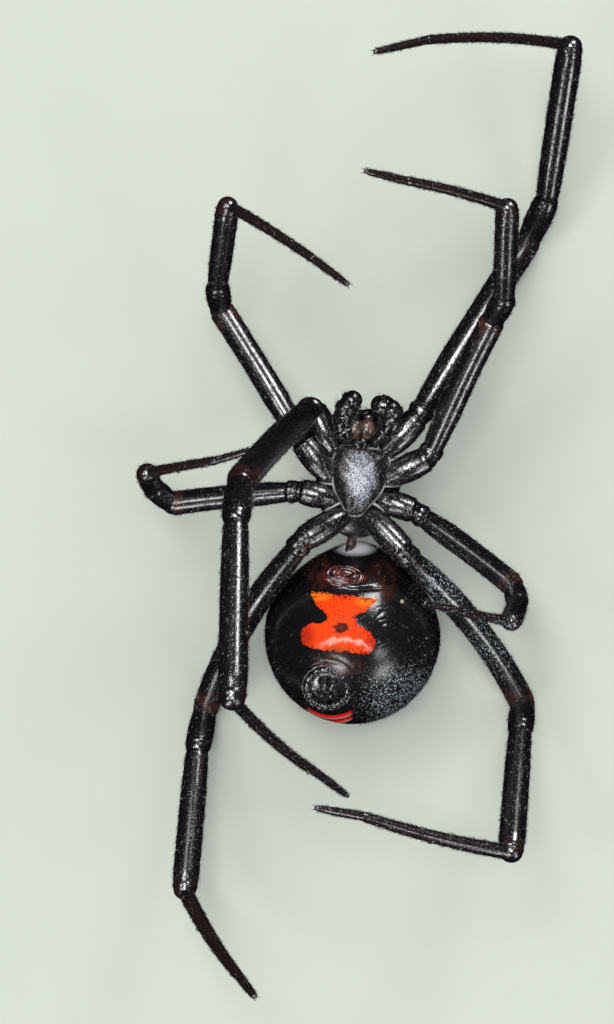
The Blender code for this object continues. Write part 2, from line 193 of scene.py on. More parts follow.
@dataclass
class Mould:
    """Gathers closed grids and hairs into one mesh.

    A hair's points are a ring at its root, a ring at its knee and its tip. hair_faces joins them.
    The knee and the tip stand at shares of the length along the stem and along the lie.
    """

    points: list[Array] = field(default_factory=list)
    loops: list[Array] = field(default_factory=list)
    sizes: list[Array] = field(default_factory=list)
    maps: list[Array] = field(default_factory=list)
    count: int = 0
    hair_faces: tuple[tuple[int, ...], ...] = (
        (0, 1, 4, 3), (1, 2, 5, 4), (2, 0, 3, 5), (3, 4, 6), (4, 5, 6), (5, 3, 6), (2, 1, 0),
    )
    root_depth: float = 0.02
    knee: Pair = (0.45, 0.08)
    tip: Pair = (0.7, 0.45)
    knee_width: float = 0.8
    hair_patch: float = 0.0015

    def add(self, points: Array, faces: Sequence[tuple[Array, Array]]) -> None:
        """Adds points and the faces on them.

        Args:
            points: (n, 3) places in millimetres.
            faces: pairs of (m, k) point numbers and (m, k, 2) places on the map.
        """
        for numbers, places in faces:
            self.loops.append((numbers + self.count).ravel())
            self.sizes.append(np.full(len(numbers), numbers.shape[1]))
            self.maps.append(places.reshape(-1, 2))
        self.points.append(points)
        self.count += len(points)

    def closed_grid(self, grid: Array, along: Array) -> None:
        """Adds a grid that closes round its columns and shrinks to a point at both ends.

        Args:
            grid: (rows, columns, 3) places. The columns run anticlockwise about the rows' way.
            along: the height of each row on the map.
        """
        rings, columns = len(grid) - 2, grid.shape[1]
        numbers = np.arange(rings * columns).reshape(rings, columns)
        after = np.roll(numbers, -1, 1)
        across, height = np.broadcast_arrays(np.arange(columns) / columns, along[1:-1, None])
        here, there = (np.stack((across + step, height), -1) for step in (0.0, 1.0 / columns))
        low, high = slice(None, -1), slice(1, None)
        quads = np.stack((numbers[low], after[low], after[high], numbers[high]), -1)
        spots = np.stack((here[low], there[low], there[high], here[high]), -2)
        faces = [(quads.reshape(-1, 4), spots.reshape(-1, 4, 2))]
        for ring, way in ((0, -1), (-1, 1)):
            first, second = ((numbers[ring], here[ring]), (after[ring], there[ring]))[::way]
            middle = (here[ring] + there[ring]) / 2
            middle[:, 1] = along[ring]
            pole = np.full(columns, rings * columns - ring)
            fan = np.stack((pole, first[0], second[0]), -1)
            faces.append((fan, np.stack((middle, first[1], second[1]), -2)))
        self.add(np.concatenate((grid[1:-1].reshape(-1, 3), grid[[0, -1]].mean(1))), faces)

    def loop_grid(self, grid: Array) -> None:
        """Adds a grid that closes both ways, as a ring does."""
        numbers = np.arange(grid[..., 0].size).reshape(grid.shape[:2])
        after, over = np.roll(numbers, -1, 1), np.roll(numbers, -1, 0)
        quads = np.stack((numbers, over, np.roll(over, -1, 1), after), -1).reshape(-1, 4)
        square = np.array(((0, 0), (0, 1), (1, 1), (1, 0)), float)
        self.add(grid.reshape(-1, 3), [(quads, np.broadcast_to(square, (len(quads), 4, 2)))])

    def hairs(self, hairs: Hairs) -> None:
        """Adds three-sided hairs: a ring at the root, one halfway, and a tip bent to the lie."""
        across = square_to(hairs.lies + 0.31, hairs.stems)[:, None]
        other = np.cross(hairs.stems, across[:, 0])[:, None]
        cos, sin = np.cos(turns(3)), np.sin(turns(3))
        ring = (cos[None, :, None] * across + sin[None, :, None] * other) * hairs.thick
        length = hairs.lengths[:, None]
        root = hairs.roots - hairs.stems * self.root_depth
        knee, tip = (
            hairs.roots + hairs.stems * length * out + hairs.lies * length * bent
            for out, bent in (self.knee, self.tip)
        )
        points = (root[:, None] + ring, knee[:, None] + self.knee_width * ring, tip[:, None])
        patch = self.hair_patch * np.stack((cos, sin), -1)
        spots = hairs.places[:, None] + np.concatenate((patch, 0.5 * patch, np.zeros((1, 2))))
        points = np.concatenate(points, 1)
        base = points.shape[1] * np.arange(len(points))[:, None]
        faces = [(base + np.array(face)[None], spots[:, list(face)]) for face in self.hair_faces]
        self.add(points.reshape(-1, 3), faces)

    def piece(self, name: str, finish: Finish, map_name: str = "Map") -> bpy.types.Object:
        """Makes the object, smooth shaded, and lets it ride on the body.

        Args:
            name: the piece's name.
            finish: its material.
            map_name: the name of its unwrap.

        Returns:
            The object.
        """
        points, loops, sizes = map(np.concatenate, (self.points, self.loops, self.sizes))
        mesh = bpy.data.meshes.new(name)
        mesh.vertices.add(len(points))
        mesh.vertices.foreach_set("co", (points * MM).ravel())
        mesh.loops.add(len(loops))
        mesh.loops.foreach_set("vertex_index", loops.astype(np.int32))
        mesh.polygons.add(len(sizes))
        starts = np.concatenate(((0,), np.cumsum(sizes)[:-1]))
        mesh.polygons.foreach_set("loop_start", starts.astype(np.int32))
        layer = mesh.uv_layers.new(name=map_name)
        layer.uv.foreach_set("vector", np.concatenate(self.maps).astype(np.float32).ravel())
        mesh.update(calc_edges=True)
        mesh.shade_smooth()
        mesh.materials.append(finish)
        thing = show(name, mesh)
        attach(thing, "root")
        log.info("%s: %d faces", name, len(sizes))
        return thing


@dataclass
class Limb:
    """A tapering tube between two places, bowed to one side and round at both ends.

    Args:
        start: where it begins.
        end: where it ends.
        radius: its largest half thickness.
        form: shares of the length and of the radius that straight lines join.
        bow: height of the arc that pushes its middle aside.
        push: the way of that arc, made square to the length.
        flat: share of the radius across, against that up and down.
        rim: height of the collar before its far end, as a share of the radius.
        blunt: depth of the round ends, as a share of the radius there.
        collar: how far before the end the collar stands, and its width.
    """

    start: Array
    end: Array
    radius: float
    form: Form
    bow: float = 0.0
    push: Array = field(default_factory=lambda: UP)
    flat: float = 1.0
    rim: float = 0.0
    blunt: float = 0.85
    collar: Pair = (0.1, 0.06)

    def __post_init__(self) -> None:
        """Works out the chord and the way of the arc."""
        self.start = np.asarray(self.start, float)
        self.chord = np.asarray(self.end, float) - self.start
        self.length = float(np.linalg.norm(self.chord))
        self.push = square_to(np.asarray(self.push, float), self.chord / self.length)

    def caps(self) -> Pair:
        """Depths of the two round ends as shares of the length."""
        depth = self.blunt * self.radius / self.length
        return depth * self.form[0][1], depth * self.form[-1][1]

    def girth(self, share: Array) -> Array:
        """Half thickness: the form times a collar, closed past each end by a quarter ellipse."""
        inner = np.clip(share, 0.0, 1.0)
        before, past = self.caps()
        over = np.where(share < 0.0, -share / before, (share - 1.0) / past)
        cap = np.sqrt(1.0 - np.clip(over, 0.0, 1.0) ** 2)
        collar = 1.0 + self.rim * hill((1.0 - inner) * self.length, *self.collar)
        return self.radius * np.interp(inner, *zip(*self.form)) * collar * cap

    def spine(self, share: Array) -> tuple[Array, Array, Array, Array]:
        """Centre, way, up and side at shares of the length: the chord plus 4·bow·s·(1 - s)."""
        inner = np.clip(share, 0.0, 1.0)[..., None]
        lift = self.push * 4.0 * self.bow
        centre = self.start + self.chord * share[..., None] + lift * inner * (1.0 - inner)
        way = unit(self.chord + lift * (1.0 - 2.0 * inner))
        up = square_to(np.broadcast_to(UP, way.shape), way)
        return centre, way, up, np.cross(way, up)

    def surface(self, share: Array, turn: Array) -> Array:
        """The point at a share of the length and a turn about it, from up towards side."""
        share, turn = np.broadcast_arrays(share, turn)
        centre, _, up, side = self.spine(share)
        ring = np.cos(turn)[..., None] * up + self.flat * np.sin(turn)[..., None] * side
        return centre + self.girth(share)[..., None] * ring

    def cast(self, mould: Mould, rows: int, columns: int, place: float = 0.0) -> None:
        """Adds its closed grid to a mould, with rows closer together towards the ends.

        Args:
            mould: the mould to add to.
            rows: rows between the round ends.
            columns: points in each ring.
            place: its number on the map of a leg's skin.
        """
        before, past = self.caps()
        quarter = np.linspace(0.0, np.pi / 2, CAP_ROWS)
        middle = (1.0 - np.cos(np.linspace(0.0, np.pi, rows))) / 2
        ends = -before * np.cos(quarter[:-1]), 1.0 + past * np.sin(quarter[1:])
        share = np.concatenate((ends[0], middle, ends[1]))
        along = (place + np.clip(share, MAP_MARGIN, 1.0 - MAP_MARGIN)) / PLACES_ON_MAP
        mould.closed_grid(self.surface(share[:, None], turns(columns)[None]), along)

    def hairs(
        self,
        draw: np.random.Generator,
        density: float,
        length: float,
        lean: float,
        place: float = 0.0,
        span: Pair = (0.02, 0.97),
    ) -> Hairs:
        """Hairs set at random over the tube, which lean towards its far end.

        Args:
            draw: the seeded source of chance.
            density: hairs to a square millimetre.
            length: their mean length.
            lean: their mean angle from square to the skin, in degrees.
            place: the tube's number on the map.
            span: the shares of the length between which they grow.

        Returns:
            The hairs.
        """
        area = 2 * np.pi * self.radius * self.length * (span[1] - span[0])
        count = max(int(area * density), 4)
        share = draw.uniform(*span, count)
        turn = draw.uniform(0.0, 2 * np.pi, count)
        centre, way, _, _ = self.spine(share)
        roots = self.surface(share, turn)
        tilt = np.radians(lean + draw.normal(0.0, LEAN_SCATTER, count))[:, None]
        stems = unit(roots - centre) * np.cos(tilt) + way * np.sin(tilt)
        stems = unit(stems + draw.normal(0.0, STEM_SCATTER, (count, 3)))
        lengths = length * draw.uniform(*HAIR_LENGTHS, count)
        places = np.stack((turn / (2 * np.pi), (place + share) / PLACES_ON_MAP), -1)
        return Hairs(roots, stems, way, lengths, places)


def tubes(
    name: str, finish: Finish, limbs: Sequence[Limb], rows: int, columns: int
) -> bpy.types.Object:
    """Makes one piece of one or more tubes, each with its number as its place on the map.

    Args:
        name: the piece's name.
        finish: its material.
        limbs: the tubes.
        rows: rows between the round ends of each.
        columns: points in each ring.

    Returns:
        The object.
    """
    mould = Mould()
    for number, limb in enumerate(limbs):
        limb.cast(mould, rows, columns, number)
    return mould.piece(name, finish)


def moulded(name: str, finish: Finish, grid: Array, along: Array) -> bpy.types.Object:
    """Makes one piece of a closed grid, with the height of each row on the map."""
    mould = Mould()
    mould.closed_grid(grid, along)
    return mould.piece(name, finish)


# Finishes


def node_maths(operation: str, swapped: bool = False) -> Callable[..., Signal]:
    """A method of a signal that adds a Math node on it and another value."""

    def method(self: Signal, other: Signal | float) -> Signal:
        """The node's result."""
        pair = (other, self) if swapped else (self, other)
        return self.bench.add("ShaderNodeMath", {"operation": operation}, dict(enumerate(pair)))

    return method


class Signal:
    """An output of a shader node. Arithmetic on it adds Math nodes."""

    __add__ = __radd__ = node_maths("ADD")
    __mul__ = __rmul__ = node_maths("MULTIPLY")
    __sub__, __rsub__ = node_maths("SUBTRACT"), node_maths("SUBTRACT", swapped=True)
    __truediv__ = node_maths("DIVIDE")
    most, least = node_maths("MAXIMUM"), node_maths("MINIMUM")

    def __init__(self, bench: Bench, socket: bpy.types.NodeSocket) -> None:
        """Keeps the bench that the node stands on and the socket."""
        self.bench = bench
        self.socket = socket

    def rise(self, low: float, high: float) -> Signal:
        """0 below low, 1 above high, and smooth between them."""
        ends = {0: self, 1: low, 2: high, 3: 0.0, 4: 1.0}
        return self.bench.add("ShaderNodeMapRange", {"interpolation_type": "SMOOTHSTEP"}, ends)

    def band(self, low: float, high: float, soft: float) -> Signal:
        """1 between low and high, with soft edges."""
        return self.rise(low - soft, low + soft) * (1.0 - self.rise(high - soft, high + soft))


@dataclass(frozen=True)
class Blot:
    """A soft oval mark: its middle, its half sizes, how soft its edge is, and its strength."""

    middle: Pair
    half: Pair
    soft: float = 0.55
    share: float = 1.0


@dataclass(frozen=True)
class Chart:
    """A chart of the underside: its bench, object coordinates, and signals across, along and up."""

    bench: Bench
    place: Signal
    x: Signal
    y: Signal
    z: Signal

    def blot(self, mark: Blot) -> Signal:
        """A mark's strength inside its ellipse, falling to 0 across the edge."""
        across = (self.x - mark.middle[0]) / mark.half[0]
        along = (self.y - mark.middle[1]) / mark.half[1]
        far = across * across + along * along
        return (1.0 - far.rise(1.0 - 0.6 * mark.soft, 1.0 + 0.4 * mark.soft)) * mark.share

    def blots(self, marks: Sequence[Blot]) -> Signal:
        """The strongest of some marks at each place."""
        return reduce(Signal.most, map(self.blot, marks))

    def moved(self, across: Signal | float, along: Signal | float) -> Chart:
        """The chart with its places moved."""
        return replace(self, x=self.x + across, y=self.y + along)


@dataclass(frozen=True)
class PaintedGlints:
    """Painted glints: fine pale bluish specks, low on the abdomen's left and near the left hind
    knee.
    """

    # Colour of the painted glints.
    tone: Triple = (0.42, 0.5, 0.53)
    flank: Blot = Blot((1.9, -2.4), (1.5, 1.2), 1.6)
    knee: tuple[Blot, ...] = (
        Blot((3.3, 1.1), (1.1, 1.0), 1.6), Blot((4.7, -0.8), (1.1, 1.3), 1.6, 0.85),
    )

    def over(self, bench: Bench, colour: Signal) -> Signal:
        """Lays the painted glints over a colour, where fine noise is above a level."""
        chart = bench.chart(CHART_CENTRE, CHART_TURN)
        region = (chart.blot(self.flank) * chart.z.rise(1.2, 2.2)).most(chart.blots(self.knee))
        # Painted glints where fine noise is high inside the region.
        glint_specks = (bench.noise(chart.place, 17.0, 1.0) + 0.11 * region).rise(0.69, 0.75)
        return bench.mix(glint_specks * region * 0.9, colour, self.tone)


class Bench:
    """A material under construction, with one Principled shader."""

    def __init__(self, name: str) -> None:
        """Makes the material and finds its shader."""
        self.material = bpy.data.materials.new(name)
        self.material.use_nodes = True
        self.nodes = self.material.node_tree.nodes
        self.links = self.material.node_tree.links
        self.shader = self.nodes["Principled BSDF"]

    def add(
        self, kind: str, settings: dict[str, object], values: dict[int | str, object], out: int = 0
    ) -> Signal:
        """Adds a node.

        Args:
            kind: the node's type.
            settings: its own settings. "knots" are the points of a curve.
            values: a signal or a constant for each socket, by number or name.
            out: number of the output that is wanted.

        Returns:
            That output.
        """
        node = self.nodes.new(kind)
        for key, setting in settings.items():
            if key == "knots":
                curve = node.mapping.curves[0]
                for _ in range(len(setting) - 2):
                    curve.points.new(0.5, 0.5)
                for point, knot in zip(curve.points, setting):
                    point.location = knot
                node.mapping.update()
            else:
                setattr(node, key, setting)
        self.plug(node, values)
        return Signal(self, node.outputs[out])

    def plug(self, node: bpy.types.Node, values: dict[int | str, object]) -> None:
        """Links signals to a node's sockets and sets the constants of others."""
        for key, value in values.items():
            if isinstance(value, Signal):
                self.links.new(value.socket, node.inputs[key])
            else:
                node.inputs[key].default_value = value

    def place(self) -> Signal:
        """Object coordinates in millimetres."""
        raw = self.add("ShaderNodeTexCoord", {}, {}, 3)
        return self.add("ShaderNodeVectorMath", {"operation": "SCALE"}, {0: raw, "Scale": 1 / MM})

    def chart(self, centre: Pair, turn: float) -> Chart:
        """A chart in millimetres about a place, turned about Z by some degrees."""
        place = self.place()
        values = {0: place, 1: (*centre, 0.0), 2: (0.0, 0.0, math.radians(turn))}
        vector = self.add("ShaderNodeMapping", {"vector_type": "TEXTURE"}, values)
        return Chart(self, place, *self.split(vector))

    def split(self, vector: Signal) -> list[Signal]:
        """The three coordinates of a vector."""
        first = self.add("ShaderNodeSeparateXYZ", {}, {0: vector})
        return [Signal(self, output) for output in first.socket.node.outputs]

    def mix(self, share: Signal, first: object, second: object) -> Signal:
        """A colour between two others."""
        ends = [c if isinstance(c, Signal) else (*c, 1.0) for c in (first, second)]
        values = {0: share, 6: ends[0], 7: ends[1]}
        return self.add("ShaderNodeMix", {"data_type": "RGBA"}, values, 2)

    def layers(self, colour: object, *coats: tuple[Signal, object]) -> Signal:
        """A colour with others laid over it in turn, each by its share."""
        return reduce(lambda under, coat: self.mix(coat[0], under, coat[1]), coats, colour)

    def noise(self, place: Signal, scale: float, detail: float = 2.0) -> Signal:
        """Cloudy noise about 0.5, with so many waves to the millimetre."""
        values = {"Vector": place, "Scale": scale, "Detail": detail}
        return self.add("ShaderNodeTexNoise", {}, values)

    def pores(self, place: Signal, scale: float, low: float, high: float) -> Signal:
        """1 near points scattered so many to the millimetre, and 0 farther off."""
        cells = self.add("ShaderNodeTexVoronoi", {}, {"Vector": place, "Scale": scale})
        return 1.0 - cells.rise(low, high)

    def bump(self, height: Signal, depth: float) -> Signal:
        """A normal from a height from 0 to 1, which stands for a depth in millimetres."""
        return self.add("ShaderNodeBump", {}, {"Height": height, "Distance": depth * MM})

    def veil(self, share: Signal, colour: Signal) -> None:
        """Lays a dull coloured skin over the first shader where the share is 1."""
        paint = {"Base Color": colour, "Roughness": 0.5, "Specular IOR Level": 0.06}
        dull = self.add("ShaderNodeBsdfPrincipled", {}, paint)
        first = Signal(self, self.shader.outputs[0])
        both = self.add("ShaderNodeMixShader", {}, {0: share, 1: first, 2: dull})
        self.links.new(both.socket, self.nodes["Material Output"].inputs["Surface"])

    def done(self, **sockets: object) -> Finish:
        """Sets the shader's sockets, named with underscores, and hands over the material."""
        self.plug(self.shader, {key.replace("_", " "): value for key, value in sockets.items()})
        return self.material

    def cuticle(
        self, colour: Signal, rough: Signal | float, normal: Signal, ior: float = CUTICLE_IOR
    ) -> Finish:
        """Finishes a hard skin. A higher index makes it reflect more."""
        self.plug(self.shader, {"IOR": ior, "Specular IOR Level": 1.0})
        return self.done(Base_Color=colour, Roughness=rough, Normal=normal)


@dataclass(frozen=True)
class LegCuticle:
    """Glossy black cuticle pitted by the sockets of its hairs, brown at some joints."""

    name: str
    brown: float
    black: Triple = (0.005, 0.0045, 0.006)
    russet: Triple = (0.05, 0.016, 0.011)
    foot: Triple = (0.02, 0.009, 0.007)

    def material(self) -> Finish:
        """Black, with brown by the station along the leg's map, dotted highlights, and painted
        glints near the left hind knee.
        """
        bench = Bench(self.name)
        place = bench.place()
        spot = bench.add("ShaderNodeUVMap", {"uv_map": "Map"}, {})
        station = bench.split(spot)[1] * PLACES_ON_MAP
        cloud = bench.noise(place, 1.3, 3.0)
        drift = station + 0.16 * (cloud - 0.5)
        knee = drift.rise(2.8, 2.93) * (1.0 - station.rise(3.0, 3.03))
        ankle = drift.rise(4.88, 4.98) * (1.0 - station.rise(5.0, 5.03)) * 0.35
        ends = knee.most(station.band(3.0, 3.2, 0.05) * 0.3).most(ankle)
        stain = ends * bench.noise(place, 2.6).rise(0.36, 0.6) * self.brown
        feet = station.rise(4.98, 5.3) * (0.4 + 0.6 * cloud)
        colour = bench.layers(self.black, (stain, self.russet), (feet, self.foot))
        pores = bench.pores(place, 11.0, 0.1, 0.34)
        grain = bench.noise(place, 26.0)
        seat = 0.45 + 0.2 * (1.0 - station.rise(1.7, 2.1))
        normal = bench.bump((0.7 * pores + 0.3 * grain) * seat, 0.016)
        rough = 0.155 + 0.12 * bench.noise(place, 3.0, 3.0) + 0.08 * pores
        # Painted glints laid over the colour.
        return bench.cuticle(PaintedGlints().over(bench, colour), rough, normal)


@dataclass(frozen=True)
class BellyCuticle:
    """The abdomen's skin: glossy black with a red hourglass, small marks, painted highlights and
    painted glints.

    The edges of the hourglass are pairs of height along the chart and place across it. The
    stripes are pairs of the lowest point and the half width.
    """

    name: str = "belly_cuticle"
    black: Triple = (0.006, 0.005, 0.006)
    red: Triple = (0.74, 0.05, 0.004)
    amber: Triple = (0.84, 0.18, 0.01)
    crimson: Triple = (0.3, 0.008, 0.004)
    brown: Triple = (0.06, 0.017, 0.009)
    rust: Triple = (0.3, 0.05, 0.01)
    # Colour of the painted highlight band on the hourglass, and the pink of the rear stripes'
    # edges.
    blush: Triple = (0.85, 0.5, 0.42)
    ivory: Triple = (0.4, 0.34, 0.22)
    stripe_red: Triple = (0.75, 0.012, 0.012)
    # Colour of the painted highlight on the front of the abdomen.
    ash: Triple = (0.6, 0.58, 0.62)
    left_edge: Form = (
        (-0.9, -0.9), (-0.72, -1.15), (-0.5, -1.21), (-0.3, -1.18), (-0.13, -0.93),
        (-0.05, -0.5), (0.12, -0.45), (0.3, -0.56), (0.51, -0.78), (0.9, -0.9),
    )
    right_edge: Form = (
        (-1.05, 0.86), (-0.85, 1.0), (-0.6, 1.03), (-0.38, 0.93), (-0.28, 0.76),
        (-0.15, 0.55), (0.0, 0.44), (0.15, 0.48), (0.24, 0.72), (0.45, 0.94), (0.62, 1.13),
    )
    clean_edge: float = 0.02
    worn_edge: float = 0.16
    lobes: tuple[Blot, ...] = (
        Blot((-1.15, -0.5), (0.35, 0.4), 1.6, 0.7), Blot((0.98, -0.75), (0.3, 0.4), 1.6, 0.7),
    )
    lights: tuple[Blot, ...] = (
        Blot((0.95, 0.6), (0.5, 0.25), 1.4, 0.8), Blot((-0.7, 0.75), (0.45, 0.2), 1.4, 0.8),
    )
    dimple: Blot = Blot((0.0, -0.23), (0.26, 0.14), 0.9)
    patch: Blot = Blot((-0.1, -0.93), (0.3, 0.12), 1.2, 0.8)
    flanks: tuple[Blot, ...] = (
        Blot((-0.7, 1.5), (0.38, 0.6), 1.2), Blot((1.3, 1.2), (0.5, 0.65), 1.4, 0.6),
        Blot((-0.05, -1.35), (0.75, 0.4), 1.2, 0.6),
    )
    # Where the painted highlight lies ahead of the epigynum: a pale patch for the light's
    # reflection on the front of the abdomen.
    plate: Blot = Blot((0.46, 2.18), (0.62, 0.24), 1.6)
    back_spot: Blot = Blot((-0.35, -2.75), (0.45, 0.4))
    dot: Blot = Blot((1.87, 0.54), (0.06, 0.06))
    coarse: Blot = Blot((2.3, -2.1), (1.3, 1.5), 1.5)
    stripes: Form = ((-3.05, 0.055), (-3.24, 0.05))
    stripe_edges: Form = ((-3.12, 0.016), (-3.3, 0.016))

    def edge(self, chart: Chart, knots: Form) -> Signal:
        """Place of an edge across the chart at a height along it, by a curve."""
        span = [((along + 1.2) / 2.4, (across + 1.5) / 3.0) for along, across in knots]
        padded = [(0.0, span[0][1]), *span, (1.0, span[-1][1])]
        values = {1: (chart.y + 1.2) / 2.4}
        return chart.bench.add("ShaderNodeFloatCurve", {"knots": padded}, values) * 3.0 - 1.5

    def hourglass(self, chart: Chart, ragged: Signal, soft: float) -> Signal:
        """1 inside the hourglass: between its two edges and its sloping ends.

        Args:
            chart: the place on the belly.
            ragged: noise that makes the edges uneven.
            soft: how far inside an edge it comes to 1.

        Returns:
            The share of red.
        """
        worn = chart.moved(0.22 * (ragged - 0.5), 0.2 * (ragged - 0.5))
        x, y = worn.x, worn.y
        depths = (
            x - self.edge(worn, self.left_edge),
            self.edge(worn, self.right_edge) - x,
            0.745 - 0.12 * x - y,
            y + 0.95 + 0.09 * x,
        )
        return reduce(Signal.__mul__, (d.rise(-0.02, soft) for d in depths), chart.z.rise(3.0, 3.2))

    def lines(self, chart: Chart, rows: Form) -> Signal:
        """1 on curved lines across the rear end, each a parabola with a lowest point."""
        across = (chart.x + 0.3) / 0.7
        rise = chart.y - 0.22 * across * across
        bands = [(rise - low).band(-half, half, 0.03) for low, half in rows]
        ends = chart.x.band(-1.0, 0.32, 0.1) * chart.z.band(2.42, 4.2, 0.08)
        return reduce(Signal.most, bands) * ends

    def paint(self, chart: Chart, fine: Signal, cloud: Signal) -> Signal:
        """The reds of the hourglass, with a painted pale highlight across its lower lobe and its
        dark dimple.

        Args:
            chart: the place on the belly.
            fine: fine noise.
            cloud: broad noise.

        Returns:
            The colour.
        """
        mottle = chart.bench.noise(chart.place, 13.0)
        rim = 1.0 - self.hourglass(chart, fine, self.worn_edge)
        jitter = 0.3 * (fine - 0.5)
        across = chart.x - 0.05
        # Painted highlight: a pale pink band along an arc over the lower lobe, where the light's
        # reflection falls.
        arc = chart.y + 0.6 + 0.4 * across * across + 0.4 * (fine - 0.5)
        painted_highlight_band = arc.band(-0.07, 0.07, 0.08) * chart.x.band(-0.55, 0.85, 0.3)
        dimple = chart.moved(jitter, jitter).blot(self.dimple)
        return chart.bench.layers(
            self.red,
            (chart.blots(self.lights), self.amber),
            (chart.blots(self.lobes), self.crimson),
            (cloud.rise(0.55, 0.75) * 0.35, self.crimson),
            (mottle.rise(0.5, 0.62) * 0.35, self.crimson),
            (rim * mottle.rise(0.44, 0.56) * 0.8, self.crimson),
            (rim * mottle.rise(0.56, 0.6) * 0.8, self.black),
            # The painted highlight band laid over the reds.
            (painted_highlight_band * (0.1 + 0.8 * mottle), self.blush),
            (dimple * (0.6 + 0.6 * mottle).least(0.95), self.black),
            (chart.moved(jitter, 0.0).blot(self.patch), self.rust),
        )

    def ground(self, chart: Chart) -> Signal:
        """Black, with brown flanks, a painted highlight ahead of the epigynum, the rear stripes and
        the spots.
        """
        bench, z = chart.bench, chart.z
        stretched = bench.add("ShaderNodeMapping", {}, {0: chart.place, 3: (3.0, 0.8, 1.0)})
        streaks = bench.noise(stretched, 1.6, 3.0).rise(0.32, 0.6)
        colour = bench.layers(
            self.black,
            (chart.blots(self.flanks) * z.rise(1.8, 2.9) * streaks, self.brown),
            # Painted highlight: a pale patch on the front of the abdomen.
            (chart.blot(self.plate) * z.rise(2.7, 3.1), self.ash),
            (self.lines(chart, self.stripes), self.stripe_red),
            (self.lines(chart, self.stripe_edges) * 0.7, self.blush),
            (chart.blot(self.back_spot) * (1.0 - z.rise(0.9, 1.1)), self.stripe_red),
            (chart.blot(self.dot), self.ivory),
        )
        # Painted glints low on the abdomen's left.
        return PaintedGlints().over(bench, colour)

    def material(self) -> Finish:
        """Lays the marks over the black, and breaks the gloss with pores and folds."""
        bench = Bench(self.name)
        chart = bench.chart(CHART_CENTRE, CHART_TURN)
        place = chart.place
        fine, cloud = bench.noise(place, 5.0, 4.0), bench.noise(place, 1.6, 3.0)
        glass = self.hourglass(chart, fine, self.clean_edge)
        bench.veil(glass, self.paint(chart, fine, cloud))
        pores = bench.pores(place, 11.0, 0.08, 0.3)
        height = (0.6 * pores + 0.4 * bench.noise(place, 22.0)) * (0.25 + chart.blot(self.coarse))
        rough = 0.16 + 0.1 * cloud + 0.08 * pores
        return bench.cuticle(self.ground(chart), rough, bench.bump(height, 0.02), 1.5)


@dataclass(frozen=True)
class ShieldCuticle:
    """Cuticle of the front body: a dark and a light tone in clouds, with a frosty grain."""

    name: str
    dark: Triple
    light: Triple
    clouds: float = 2.2
    rough: float = 0.2
    pore_depth: float = 0.007
    ior: float = 1.55
    pore_scale: float = 12.0

    def material(self) -> Finish:
        """Mixes the two tones by noise and pits the surface."""
        bench = Bench(self.name)
        place = bench.place()
        cloud = bench.noise(place, self.clouds, 4.0)
        pores = bench.pores(place, self.pore_scale, 0.08, 0.32)
        tone = (cloud.rise(0.34, 0.66) + 0.35 * pores).least(1.0)
        colour = bench.mix(tone, self.dark, self.light)
        normal = bench.bump(0.6 * pores + 0.4 * bench.noise(place, 28.0), self.pore_depth)
        return bench.cuticle(colour, self.rough + 0.14 * cloud, normal, self.ior)


@dataclass(frozen=True)
class SternumCuticle:
    """A black shield with a painted pale sheen in its middle, broken up by dark pits and pale dots.
    """

    name: str = "frosty_sternum"
    centre: Pair = (-0.42, 4.84)
    half: Pair = (0.56, 1.05)
    black: Triple = (0.006, 0.005, 0.006)
    # Colour of the painted sheen in the middle of the sternum.
    painted_sheen: Triple = (0.4, 0.42, 0.48)

    def material(self) -> Finish:
        """Lets the painted sheen through where noise is above a level that rises towards the rim.
        """
        bench = Bench(self.name)
        chart = bench.chart(self.centre, PROSOMA.turn)
        place = chart.place
        across, along = chart.x / self.half[0], chart.y / self.half[1]
        middle = 1.0 - (across * across + along * along).rise(0.1, 1.1)
        speckle, broad = bench.noise(place, 21.0, 3.0), bench.noise(place, 2.4)
        level = 0.64 - 0.27 * middle - 0.3 * (broad - 0.5)
        # Painted sheen: pale where fine noise is above the level, most in the middle.
        painted_sheen = (speckle - level).rise(-0.06, 0.2) * 0.85
        pores = bench.pores(place, 13.0, 0.08, 0.34)
        colour = bench.mix(painted_sheen * (1.0 - 0.7 * pores), self.black, self.painted_sheen)
        normal = bench.bump(0.5 * pores + 0.5 * speckle, 0.016)
        return bench.cuticle(colour, 0.2 + 0.1 * broad, normal, 1.45)


@dataclass(frozen=True)
class HairFinish:
    """Black glossy hairs with pale ones among them. On the belly they share its red, and they carry
    the painted glints.
    """

    name: str
    dark: Triple = (0.012, 0.011, 0.012)
    light: Triple = (0.4, 0.42, 0.45)
    marked: bool = False

    def material(self) -> Finish:
        """Picks the pale hairs by a fine noise, and the red ones by the hourglass."""
        bench = Bench(self.name)
        place = bench.place()
        colour = bench.mix(bench.noise(place, 7.0, 1.0).rise(0.6, 0.67), self.dark, self.light)
        if self.marked:
            belly, chart = BellyCuticle(), bench.chart(CHART_CENTRE, CHART_TURN)
            fine = bench.noise(place, 5.0, 4.0)
            glass = belly.hourglass(chart, fine, belly.clean_edge)
            colour = bench.mix(glass, colour, belly.red)
        # Painted glints laid over the hairs' colour.
        colour = PaintedGlints().over(bench, colour)
        return bench.done(Base_Color=colour, Roughness=0.28, Specular_IOR_Level=0.8)


@dataclass(frozen=True)
class GlossFinish:
    """A smooth hard finish with a little cloudiness, for eyes, claws and fangs."""

    name: str
    dark: Triple
    light: Triple
    rough: float

    def material(self) -> Finish:
        """Mixes its tones by noise under a clear coat."""
        bench = Bench(self.name)
        cloud = bench.noise(bench.place(), 6.0)
        colour = bench.mix(cloud.rise(0.35, 0.65), self.dark, self.light)
        return bench.done(Base_Color=colour, Roughness=self.rough, Coat_Weight=0.6)


# Sub-assemblies


